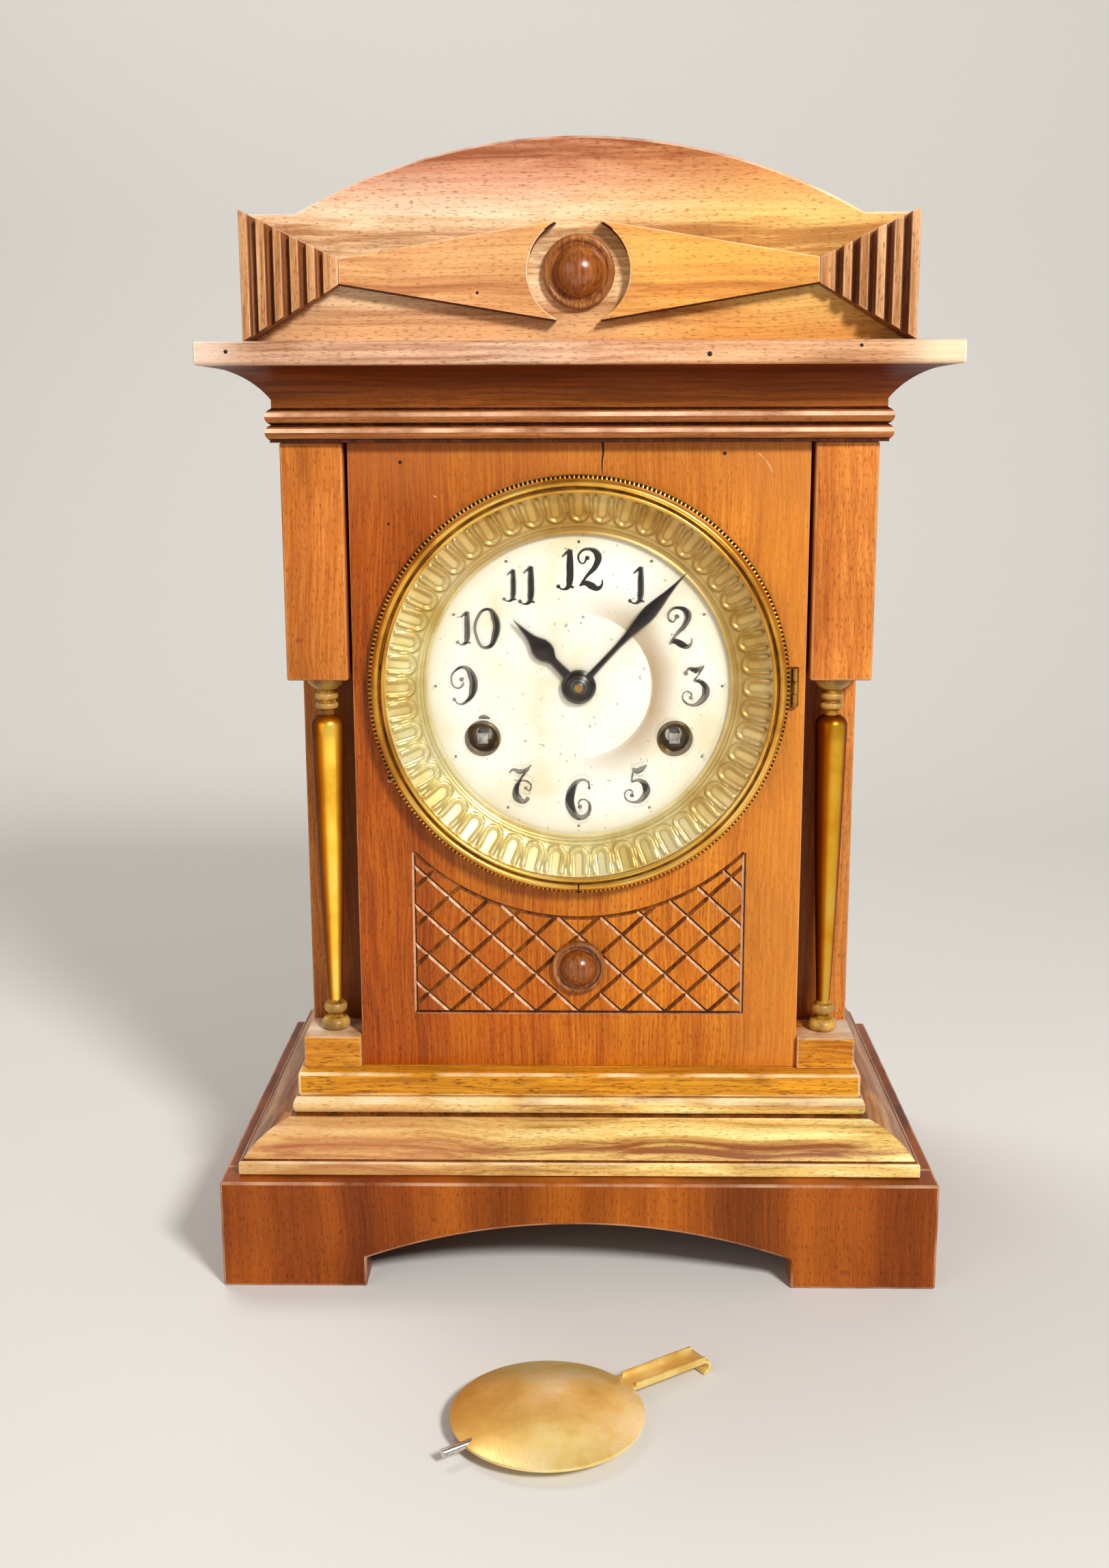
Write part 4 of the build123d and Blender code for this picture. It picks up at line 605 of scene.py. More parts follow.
def buildBase():
    m, p = baseMoulding, pedestal
    dressBoard("plinth_front", "plinth_front_board", "plinth", rounding=0.9, segments=3)
    dressBoard("plinth_sides", "plinth_side_boards", "plinth", rounding=0.9, segments=3)
    dressBoard("plinth_back", "plinth_back_rail", "plain", rounding=0.6)
    inward, upward = m["chamfer"]
    profile = [(m["back"], m["bottom"]), (m["fillet"] + inward, m["bottom"])]
    profile += [(m["fillet"], m["bottom"] + upward)]
    profile += arcPoints(m["fillet"] + m["nose"], m["filletTop"] - m["nose"], m["nose"], 180, 90, 4)
    profile += [(m["ovolo"][0][0], m["filletTop"])]
    profile += arcThrough(*m["ovolo"], 12)
    profile += [(m["quirkEdge"], m["ovolo"][2][1])]
    profile += arcThrough(*m["bead"], 8)
    profile += [(m["back"], m["top"])]
    bm = mitredMoulding(profile, "base_moulding")
    rubBands(bm, m["rubbed"])
    # painted shade: a dark line in the quirk at each of these heights
    for face in bm.faces:
        height = face.calc_center_median().z / mm
        if any(abs(height - line) < m["dirtReach"] for line in m["dirtLines"]):
            face.material_index = 2
    finishPiece("base_moulding_strips", bm, [woods["mould"], woods["mouldSide"], woods["groove"]], "case",
                ["base_moulding"], sharp=32)
    dressBoard("base_board", "base_step_board", "board", rounding=1.1, segments=3)
    bm = copyNode("pedestals")
    softenEdges(bm, p["rounding"])
    wearAndSheen = wearAndSheenLayer(bm)
    for face in bm.faces:
        face[wearAndSheen] = 1.0 if face.normal.z > p["topFrom"] else p["edgeWear"] * face[wearAndSheen]
    finishPiece("column_pedestals", bm, [woods["pedestal"]], "case", ["pedestals"], weighted=True)
    print("plinth and base built")


# case body: the lattice is cut with square bars, and its upper edge follows the bezel
lattice = {"half": 60.0, "low": 93.0, "arc": 85.3, "pitch": 15.8, "slope": 43.0, "bar": 1.105,
           "borderBar": 0.975, "arcBar": 0.69, "arcSteps": 28, "pale": 0.35, "arcClear": 0.8, "depth": 1.5,
           "lines": 12, "ticks": 700, "tick": 0.2, "shortest": 3, "halfDiamond": 0.4}


# the grooves stay inside the border and leave the half diamond at the foot plain
def inLattice(x, z):
    if abs(x) > lattice["half"] or z < lattice["low"]:
        return False
    rise = math.tan(math.radians(lattice["slope"]))
    tip = lattice["pitch"] * rise
    if abs(x) * rise + abs(z - lattice["low"] - tip) < tip - lattice["halfDiamond"]:
        return False
    return math.hypot(x, z - dialCentre.z / mm) > lattice["arc"]


# a square bar on its edge, which cuts a V groove where it lies in the face
def grooveBar(bm, start, end, y, width):
    first = Vector((start[0], y, start[1])) * mm
    last = Vector((end[0], y, end[1])) * mm
    run = last - first
    turn = Vector((1, 0, 0)).rotation_difference(run).to_matrix().to_4x4()
    size = Matrix.Diagonal((run.length, width * mm, width * mm, 1))
    onEdge = Matrix.Rotation(math.radians(45), 4, "X")
    bmesh.ops.create_cube(bm, size=1, matrix=Matrix.Translation((first + last) / 2) @ turn @ onEdge @ size)


def grooveRuns(slope):
    runs = []
    angle = math.radians(slope)
    step = lattice["tick"]
    for line in range(-lattice["lines"], lattice["lines"] + 1):
        inside = []
        for tick in range(-lattice["ticks"], lattice["ticks"] + 1):
            x = line * lattice["pitch"] + tick * step * math.cos(angle)
            z = lattice["low"] + tick * step * math.sin(angle)
            if inLattice(x, z):
                inside.append((tick, x, z))
        for order, (tick, x, z) in enumerate(inside):
            if order == 0 or inside[order - 1][0] != tick - 1:
                start = (x, z)
            if order == len(inside) - 1 or inside[order + 1][0] != tick + 1:
                if math.dist(start, (x, z)) > lattice["shortest"]:
                    runs.append((start, (x, z)))
    return runs


# the curved bar under the bezel
def grooveArc(y, corner):
    arc = bmesh.new()
    reach = Vector((0, y * mm, dialCentre.z - lattice["arc"] * mm))
    small = lattice["arcBar"] * mm
    diamond = ((1, 0), (0, 1), (-1, 0), (0, -1))
    arc.faces.new([arc.verts.new(reach + Vector((0, small * dy, small * dz))) for dy, dz in diamond])
    turn = Matrix.Rotation(math.radians(corner), 3, "Y")
    bmesh.ops.rotate(arc, verts=arc.verts, cent=dialCentre, matrix=turn)
    bmesh.ops.spin(arc, geom=arc.faces[:], cent=dialCentre, axis=alongY, dvec=(0, 0, 0),
                   angle=math.radians(-2 * corner), steps=lattice["arcSteps"])
    bmesh.ops.recalc_face_normals(arc, faces=arc.faces)
    return arc


def cutGrooves(panel, y):
    half, low = lattice["half"], lattice["low"]
    corner = math.degrees(math.asin(half / lattice["arc"]))
    top = dialCentre.z / mm - lattice["arc"] * math.cos(math.radians(corner))
    border = [((-half, low), (half, low)), ((-half, low), (-half, top)), ((half, low), (half, top))]
    rises, falls = grooveRuns(lattice["slope"]), grooveRuns(180 - lattice["slope"])
    cutters = []
    for runs, width in ((rises, lattice["bar"]), (falls, lattice["bar"]), (border, lattice["borderBar"])):
        bars = bmesh.new()
        for start, end in runs:
            grooveBar(bars, start, end, y, width)
        cutters.append(bars)
    for cutter in cutters + [grooveArc(y, corner)]:
        cutAway(panel, cutter, woods["groove"])


def buildCase():
    bm = copyNode("front_panel")
    softenEdges(bm, rounding=0.4)
    blank = linkObject("blank", toMesh("blank", bm, [woods["panel"]]))
    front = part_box("front_panel")[0].y
    cutGrooves(blank, front / mm)
    carved = bmesh.new()
    carved.from_mesh(blank.data)
    materials = list(blank.data.materials) + [woods["groovePale"], woods["grooveDeep"]]
    bpy.data.objects.remove(blank)
    # one flank of a groove gets a painted highlight and the other painted shade, by which way the flank faces
    for face in carved.faces:
        middle = face.calc_center_median()
        fromArc = math.hypot(middle.x, middle.z - dialCentre.z) / mm - lattice["arc"]
        if face.material_index > 0 and middle.y < front + lattice["depth"] * mm:
            lit = face.normal.x + face.normal.z
            if abs(lit) > lattice["pale"] and fromArc > lattice["arcClear"]:
                face.material_index = len(materials) - (2 if lit > 0 else 1)
    finishPiece("front_panel_carved", carved, materials, "case", ["front_panel"], sharp=0)
    dressBoard("side_panels", "case_sides", "block", rounding=0.7)
    dressBoard("corner_posts", "case_corner_posts", "post", rounding=0.5)
    dressBoard("corner_blocks", "column_blocks", "block", rounding=0.8, segments=3)
    dressBoard("top_board", "case_top_board", "plain", rounding=0.5)
    dressBoard("back_door", "rear_door_board", "plain", rounding=0.8, body="rear_door")
    print("case built")


# turned columns: (radius, height) points, from the foot up in "lower" and from the top down in the rest
column = {
    "lower": {"base": 4.1, "torus": ((4.5, 0.2), (5.4, 2.2), (3.8, 4.5)),
              "neck": [(3.2, 4.9), (2.4, 5.5), (3.0, 6.2)],
              "collar": ((3.3, 6.4), (4.3, 8.4), (3.3, 10.4)), "end": (2.8, 10.7)},
    "shaftFoot": 11.4, "shaftTop": 17.0, "footRadius": 2.5, "topRadius": 5.8, "swell": 0.35, "shaftSteps": 14,
    "shoulder": [(5.8, 17.0), (5.1, 15.4), (2.7, 13.7)],
    "neck": [(2.7, 13.7), (2.6, 12.6), (2.9, 11.9)],
    "rings": [[(3.4, 11.6), (4.2, 10.3), (3.4, 9.0), (3.3, 8.7)],
              [(3.4, 8.2), (4.2, 6.85), (3.4, 5.5), (3.3, 5.2)]],
    "capFoot": (3.2, 4.8), "capFlare": [(3.3, 4.5), (5.0, 3.4), (6.6, 1.7)], "cap": 6.6,
    "rubFrom": 3.75, "steps": 56}


def columnSections(height):
    c, foot = column, column["lower"]

    def fromTop(points):
        return [(radius, height - drop) for radius, drop in points]

    shaftFoot, shaftTop = c["shaftFoot"], height - c["shaftTop"]
    lower = [(0, 0), (foot["base"], 0)] + arcThrough(*foot["torus"], 9) + foot["neck"]
    lower += arcThrough(*foot["collar"], 9) + [foot["end"], (c["footRadius"], shaftFoot), (0, shaftFoot)]
    shaft = [(0, shaftFoot)]
    for step in range(c["shaftSteps"] + 1):
        share = step / c["shaftSteps"]
        radius = c["footRadius"] + (c["topRadius"] - c["footRadius"]) * share
        radius += c["swell"] * math.sin(math.pi * share)
        shaft.append((radius, shaftFoot + share * (shaftTop - shaftFoot)))
    shaft += arcThrough(*fromTop(c["shoulder"]), 6)[1:]
    shaft += [(0, shaft[-1][1])]
    upper = [(0, shaft[-1][1])] + fromTop(c["neck"])
    for ring in c["rings"]:
        *bulge, gap = fromTop(ring)
        upper += arcThrough(*bulge, 6) + [gap]
    upper += fromTop([c["capFoot"]]) + arcThrough(*fromTop(c["capFlare"]), 6)
    upper += [(c["cap"], height), (0, height)]
    return lower, shaft, upper


def buildColumns():
    c = column
    low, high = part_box("columns")
    y = (low.y + high.y) / 2
    x = high.x - c["cap"] * mm
    sections = columnSections((high.z - low.z) / mm)
    bm = bmesh.new()
    for side in (-1, 1):
        centre = Vector((side * x, y, low.z))
        for order, profile in enumerate(sections):
            joinInto(bm, turnProfile(profile, centre, alongZ, c["steps"]), 0 if order == 1 else 1)
    # painted highlight: the outer faces of the turned rings take the pale tone
    wearAndSheen = wearAndSheenLayer(bm)
    for face in bm.faces:
        middle = face.calc_center_median()
        radius = math.hypot(abs(middle.x) - x, middle.y - y) / mm
        face[wearAndSheen] = 1.0 if radius > c["rubFrom"] else 0.0
    finishPiece("turned_columns", bm, [metals["column"], woods["turned"]], "case",
                ["columns"], sharp=50)
    print("columns turned")


# cornice and slab
# the beads' rubbed band is a painted highlight, and the quirks between the beads are painted shade
cornice = {"reach": 21.3, "seat": 2.6, "bead": 4.05, "beadHeight": 5.4, "beads": 2, "quirk": 0.6, "lip": 0.25,
           "groove": 0.5, "fillet": 1.9, "filletFoot": 0.3, "filletHeight": 3.0, "cove": 10.8,
           "coveShape": (0.29, 0.54), "depth": 14.0, "dirtShare": 0.11, "dirtDepth": 40, "dirtTop": 0.4,
           "rubbed": (0.55, 0.8)}


def buildCornice():
    m = cornice
    low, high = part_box("cornice_moulding")
    inner = m["reach"] + m["depth"]
    seat, out, fillet = (m["reach"] - m[part] for part in ("seat", "bead", "fillet"))
    foot, top = low.z / mm, high.z / mm
    beadFoot = foot + m["quirk"]
    profile = [(inner, foot), (seat, foot), (seat, beadFoot)]
    for bead in range(m["beads"]):
        start, end = (beadFoot + (bead + i) * m["beadHeight"] for i in (0, 1))
        crest = (out, start + m["beadHeight"] / 2)
        profile += arcThrough((seat, start + m["lip"]), crest, (seat, end - m["lip"]), 8)
        profile += [(seat + m["groove"], end)]
    filletFoot = beadFoot + m["beads"] * m["beadHeight"]
    coveFoot = filletFoot + m["filletHeight"]
    inward, upward = m["coveShape"]
    bend = (fillet * (1 - inward), coveFoot + upward * m["cove"])
    profile += [(fillet, filletFoot + m["filletFoot"])]
    profile += arcThrough((fillet, coveFoot), bend, (0, top), 14)
    profile += [(inner, top)]
    bm = mitredMoulding(profile, "cornice_moulding")
    # painted shade in the quirks between the beads; the rest of the front in the bead band takes the bead
    # wood
    for face in bm.faces:
        middle = face.calc_center_median()
        way = (middle.z / mm - beadFoot) / m["beadHeight"]
        if middle.z > (filletFoot + m["dirtTop"]) * mm or middle.y > low.y + m["dirtDepth"] * mm:
            continue
        if abs(way - round(way)) < m["dirtShare"]:
            face.material_index = 3
        elif face.material_index == 0:
            face.material_index = 2
    # painted highlight: a pale band along the upper part of each bead
    rubBands(bm, [[beadFoot + (bead + share) * m["beadHeight"] for share in m["rubbed"]]
                  for bead in range(m["beads"])])
    finish = [woods["cornice"], woods["corniceSide"], woods["bead"], woods["grooveDeep"]]
    finishPiece("cornice_strips", bm, finish, "case", ["cornice_moulding"], sharp=32)
    dressBoard("cornice_slab", "cornice_slab_board", "slab", rounding=0.9, segments=3)
    print("cornice built")


# pediment
reeds = {"width": 31.5, "drop": 8.5, "side": 1.2, "floor": 3.3, "rounding": 0.5}
bosses = {"pediment_boss": {"radius": 12.2, "dome": 8.7}, "lattice_boss": {"radius": 9.8, "dome": 7.0}}
# the gutter's points are (way out from the dome, share of the rim's height)
bossRim = {"height": 3.0, "wall": 0.5, "edge": 1.1, "edgeTurn": 110,
           "gutter": ((1.4, 0.86), (0.9, 0.62), (0.2, 0.62)), "seam": 0.8, "steps": 64}


# how far a face lies behind the slanting line over the reeds, in millimetres
def reedDepth(face, low, high):
    middle = face.calc_center_median()
    if abs(face.normal.z) > slant:
        return 0.0
    share = (high.x - abs(middle.x)) / (reeds["width"] * mm)
    return (middle.y - low.y) / mm - share * reeds["drop"]


def buildReeds():
    bm = copyNode("fluted_blocks")
    low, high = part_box("fluted_blocks")
    for face in bm.faces:
        # painted shade in the flutes: their sides take the shaded flute wood and their floors the dark groove
        # wood
        depth = reedDepth(face, low, high)
        face.material_index = 2 if depth > reeds["floor"] else 1 if depth > reeds["side"] else 0
    softenEdges(bm, reeds["rounding"], 3)
    shadeBelow(bm, 2)
    finishPiece("pediment_reeded_blocks", bm, [woods["reed"], woods["fluteSide"], woods["groove"]], "case",
                ["fluted_blocks"], weighted=True)


def buildBoss(nodeName, radius, dome):
    low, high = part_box(nodeName)
    centre = Vector(((low.x + high.x) / 2, high.y, (low.z + high.z) / 2))
    tall = (high.y - low.y) / mm
    rim, edge = bossRim["height"], bossRim["edge"]
    size, spread = capArc(dome, tall - bossRim["gutter"][-1][1] * rim)
    profile = [(0, 0), (radius, 0), (radius, -bossRim["wall"] * rim)]
    roundEdge = arcPoints(radius - edge, rim - edge, edge, 0, bossRim["edgeTurn"], 7)
    profile += [(x, -y) for x, y in roundEdge]
    profile += [(dome + out, -share * rim) for out, share in bossRim["gutter"]]
    profile += [(x, -y) for x, y in arcPoints(0, tall - size, size, 90 - spread, 90, 12)]
    bm = turnProfile(profile, centre, alongY, bossRim["steps"])
    for face in bm.faces:
        middle = face.calc_center_median() - centre
        onRim = math.hypot(middle.x, middle.z) > (dome + bossRim["seam"]) * mm
        face.material_index = 1 if onRim else 0
    finishPiece("turned_" + nodeName, bm, [woods["boss"], woods["bossRim"]], "case",
                [nodeName], sharp=50)


def buildPediment():
    dressBoard("pediment_board", "pediment_arched_board", "pediment", rounding=0.9, segments=3)
    buildReeds()
    bm = copyNode("bow_overlays")
    softenEdges(bm, rounding=0.6)
    shadeBelow(bm, 1)
    finishPiece("pediment_bow_overlays", bm, [woods["bow"], woods["grooveDeep"]], "case",
                ["bow_overlays"], weighted=True)
    for nodeName, shape in bosses.items():
        buildBoss(nodeName, **shape)
    print("pediment built")


# bezel, glass and sight ring
# points of the bezel: the rope's back is (way in from the rim, way forward from the rear), the rope's front
# and the cove's start the same from the rope's front, the cove's bend (way in, way behind the front),
# and crest, gutter and lip (radius, way behind the front)
bezelShape = {"bore": 69.0, "lipRadius": 68.4, "lipDepth": 1.1, "rope": 3.6, "beads": 288, "beadSteps": 5,
              "ripple": 0.55, "rippleTo": 1.48, "dip": 0.6, "dipTo": 1.8, "dipAhead": 0.2, "slit": 0.9,
              "slitFrom": 70.6, "sunkFrom": 69.85, "sunkTo": 70.58, "sunkDepth": 1.7,
              "ropeBack": ((1.5, 0.0), (1.5, 0.6), (0.4, 0.9), (0.0, 1.4)),
              "ropeFront": ((0.0, -0.6), (0.3, -0.15), (1.45, 0.1), (1.6, 0.1)),
              "coveStart": (1.6, 0.4), "coveBend": (2.1, 1.1),
              "crest": ((72.0, 0.0), (71.0, 0.25), (70.6, 1.0)),
              "gutter": ((70.5, 1.5), (70.0, 1.5), (69.8, 0.9), (69.6, 0.3)),
              "lip": ((69.45, 0.15), (68.8, 0.3), (68.4, 0.9)), "lugFrom": 0.05}
glassShape = {"seat": 0.6, "arcSteps": 20, "steps": 96}
sightShape = {"inner": 54.0, "outer": 68.6, "inset": 0.8, "sink": 0.35, "thickness": 0.5, "arches": 48,
              "cellSteps": 20, "rows": 40, "archTop": 5.4, "archHalf": 2.65, "ridge": 0.62, "height": 1.05,
              "dish": 0.35, "legEnd": 15.3, "legFade": 0.6, "dartFrom": 6.0, "dartTo": 12.4,
              "dartHeight": 0.7, "dartWidth": 0.4, "foot": 1.1, "shadeSpread": 0.36, "archShade": 0.75,
              "lineShade": 0.8}
# raised beads and dark lines round the ring as (place, height or depth, width)
sightBeads = ((3.3, 0.5, 0.45), (0.5, 0.8, 0.5))
sightLines = ((2.5, 0.7, 0.3), (4.1, 0.7, 0.3), (1.5, 0.8, 0.4))


# how deep the rope edge dips between its beads, from 0 to 1
def ropeDip(reach):
    return 0.5 - 0.5 * math.cos(bezelShape["beads"] * math.atan2(reach.z, reach.x))


def buildBezel():
    b = bezelShape
    low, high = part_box("bezel")
    radius = -low.x / mm
    front, rear = low.y / mm, high.y / mm
    centre = Vector((0, 0, dialCentre.z))
    rope = rear - b["rope"]
    seat = front + b["lipDepth"]
    crest, gutter, lip = ([(r, front + depth) for r, depth in b[part]] for part in ("crest", "gutter", "lip"))
    coveStart = (radius - b["coveStart"][0], rope - b["coveStart"][1])
    coveBend = (radius - b["coveBend"][0], front + b["coveBend"][1])
    profile = [(b["bore"], rear)]
    profile += [(radius - inward, rear - ahead) for inward, ahead in b["ropeBack"]]
    profile += [(radius - inward, rope - ahead) for inward, ahead in b["ropeFront"]]
    profile += arcThrough(coveStart, coveBend, crest[0], 8)
    profile += arcThrough(*crest, 5)[1:]
    profile += gutter + arcThrough(*lip, 5)
    profile += [(b["lipRadius"], seat), (b["bore"], seat)]
    bm = turnProfile(profile, centre, alongY, b["beads"] * b["beadSteps"])
    for vert in bm.verts:
        reach = Vector((vert.co.x, 0, vert.co.z - centre.z))
        if reach.length > (radius - b["rippleTo"]) * mm:
            vert.co -= reach.normalized() * b["ripple"] * ropeDip(reach) * mm
    for face in bm.faces:
        middle = face.calc_center_median()
        reach = Vector((middle.x, 0, middle.z - centre.z))
        far = reach.length / mm
        onRope = far > radius - b["dipTo"] and middle.y > (rope - b["dipAhead"]) * mm
        slit = far > b["slitFrom"] and reach.z < 0 and abs(reach.x) < b["slit"] / 2 * mm
        sunk = b["sunkFrom"] < far < b["sunkTo"] and middle.y < (front + b["sunkDepth"]) * mm
        dark = slit or onRope and ropeDip(reach) > b["dip"]
        face.material_index = 1 if dark else 2 if sunk else 0
    finishPiece("bezel_ring", bm, [metals["bezel"], metals["grommet"], metals["groove"]], "bezel_door",
                sharp=60)
    lug = copyNode("bezel")
    for vert in lug.verts[:]:
        if math.hypot(vert.co.x, vert.co.z - centre.z) < (radius + b["lugFrom"]) * mm:
            lug.verts.remove(vert)
    if lug.faces:
        bmesh.ops.holes_fill(lug, edges=lug.edges)
    finishPiece("bezel_hinge_lug", lug, [metals["brass"]], "bezel_door", ["bezel"])
    buildGlass(centre, seat)
    buildSight(centre)
    print("bezel built")


def buildGlass(centre, seat):
    low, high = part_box("bezel_glass")
    crown, edgeRadius = low.y / mm, high.x / mm
    thickness = high.y / mm - seat
    size, spread = capArc(bezelShape["lipRadius"] - glassShape["seat"], seat - crown)
    dome = arcPoints(0, 0, size, 90, 90 - spread, glassShape["arcSteps"])
    outer = [(x, crown + size - y) for x, y in dome]
    inner = [(x, y + thickness) for x, y in reversed(outer)]
    profile = outer + [(edgeRadius, seat), (edgeRadius, seat + thickness)] + inner
    bm = turnProfile(profile, centre, alongY, glassShape["steps"])
    finishPiece("bezel_domed_glass", bm, [paneGlass], "bezel_door", ["bezel_glass"], sharp=50)


# a rounded rise, 1 in its middle
def hump(away, width):
    return math.exp(-(away / width) ** 2)


# height of the stamped arch-and-dart pattern at a point of one cell, in millimetres, and the painted shade at
# its feet, with the dark lines
def stampPoint(across, along, cellWidth):
    s = sightShape
    bend = s["archTop"] + s["archHalf"]
    reach = abs(across) if along > bend else math.hypot(across, along - bend)
    away = abs(reach - s["archHalf"])
    ended = min(1.0, max(0.0, (s["legEnd"] - along) / s["legFade"]))
    arch = ended * hump(away, s["ridge"])
    if reach < s["archHalf"]:
        arch -= s["dish"] * ended
    dirt = ended * hump(away - s["foot"], s["shadeSpread"])
    dart = 0.0
    if s["dartFrom"] < along < s["dartTo"]:
        swell = math.sin(math.pi * (along - s["dartFrom"]) / (s["dartTo"] - s["dartFrom"]))
        dart = s["dartHeight"] * hump(cellWidth / 2 - abs(across), s["dartWidth"]) * swell
        dirt *= 1 - dart
    bead, lines = (sum(size * hump(along - place, width) for place, size, width in rows)
                   for rows in (sightBeads, sightLines))
    return s["height"] * max(arch, dart, bead), min(1.0, max(s["archShade"] * dirt, s["lineShade"] * lines))


def buildSight(centre):
    s = sightShape
    low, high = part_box("sight_ring")
    yInner, yOuter = high.y / mm - s["inset"], low.y / mm + s["inset"]
    run = Vector((s["outer"] - s["inner"], yOuter - yInner))
    normal = Vector((-run.y, run.x)).normalized()
    if normal.y > 0:
        normal = -normal
    bm = bmesh.new()
    bmesh.ops.create_grid(bm, x_segments=s["arches"] * s["cellSteps"], y_segments=s["rows"], size=0.5)
    cell = 2 * math.pi / s["arches"]
    dirtLayer = bm.verts.layers.float.new("dirt")
    for vert in bm.verts:
        turn = (vert.co.x + 0.5) * 2 * math.pi
        share = vert.co.y + 0.5
        radius = s["inner"] + run.x * share
        across = ((turn / cell + 0.5) % 1.0 - 0.5) * cell * radius
        rise, vert[dirtLayer] = stampPoint(across, share * run.length, cell * radius)
        rise -= s["sink"]
        radius += normal.x * rise
        y = yInner + run.y * share + normal.y * rise
        vert.co = centre + Vector((radius * math.cos(turn), y, radius * math.sin(turn))) * mm
    bmesh.ops.remove_doubles(bm, verts=bm.verts, dist=weld)
    bmesh.ops.recalc_face_normals(bm, faces=bm.faces)
    if sum(face.normal.y for face in bm.faces) > 0:
        bmesh.ops.reverse_faces(bm, faces=bm.faces)
    bmesh.ops.solidify(bm, geom=bm.faces[:], thickness=s["thickness"] * mm)
    finishPiece("sight_ring_stamped", bm, [metals["gilt"]], "bezel_door", ["sight_ring"],
                sharp=70)


# dial, grommets and numerals
dialShape = {"radius": 63.0, "edge": 0.3, "raised": 0.45, "ring": 26.0, "ringRound": (0.6, 0.06),
             "slope": 3.2, "slopeRound": (1.0, 0.04), "hole": 3.3, "thickness": 0.8, "windingHole": 5.2,
             "holeDepth": 6, "numerals": 41.3, "dots": 51.2, "dotSize": 0.55, "steps": 128}
grommet = {"bore": 4.4, "radius": 6.5, "rim": 0.9, "crest": 0.8, "wall": 0.75, "behind": 1.4, "lip": 0.5,
           "seat": 0.02, "steps": 48}
windings = ("going_winding", "strike_winding")


def buildDial():
    d = dialShape
    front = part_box("dial")[0].y / mm
    centre = Vector((0, 0, dialCentre.z))
    raised, slopeEnd, rear = front - d["raised"], d["ring"] + d["slope"], front + d["thickness"]
    inward, sunk = d["ringRound"]
    outward, proud = d["slopeRound"]
    profile = [(d["hole"], rear), (d["hole"], raised), (d["ring"] - inward, raised)]
    profile += [(d["ring"], raised + sunk), (slopeEnd, front - proud), (slopeEnd + outward, front)]
    profile += [(d["radius"] - d["edge"], front), (d["radius"], front + d["edge"]), (d["radius"], rear)]
    bm = turnProfile(profile, centre, alongY, d["steps"])
    disc = finishPiece("dial_plate", bm, [dialPaint], "case", ["dial"], sharp=40)
    holes = bmesh.new()
    for name in windings:
        spot = places[name]
        turn = Matrix.Translation((spot.x, front * mm, spot.z)) @ Matrix.Rotation(math.radians(90), 4, "X")
        bmesh.ops.create_cone(holes, cap_ends=True, segments=40, radius1=d["windingHole"] * mm,
                              radius2=d["windingHole"] * mm, depth=d["holeDepth"] * mm, matrix=turn)
    cutAway(disc, holes)
    buildGrommets(front)
    print("dial built")


def buildGrommets(front):
    g = grommet
    bore, wall, rear = g["bore"], g["bore"] + g["wall"], front + g["behind"]
    crown = arcThrough((bore, g["lip"]), (bore + g["crest"], g["rim"]), (g["radius"], g["seat"]), 9)
    profile = [(bore, rear), (bore, front - g["lip"])] + [(x, front - y) for x, y in crown]
    profile += [(wall, front + g["seat"]), (wall, rear)]
    collars = bmesh.new()
    for name in windings:
        spot = Vector((places[name].x, 0, places[name].z))
        joinInto(collars, turnProfile(profile, spot, alongY, g["steps"]))
    finishPiece("winding_hole_grommets", collars, [metals["grommet"]], "case", ["winding_grommets"],
                sharp=50)


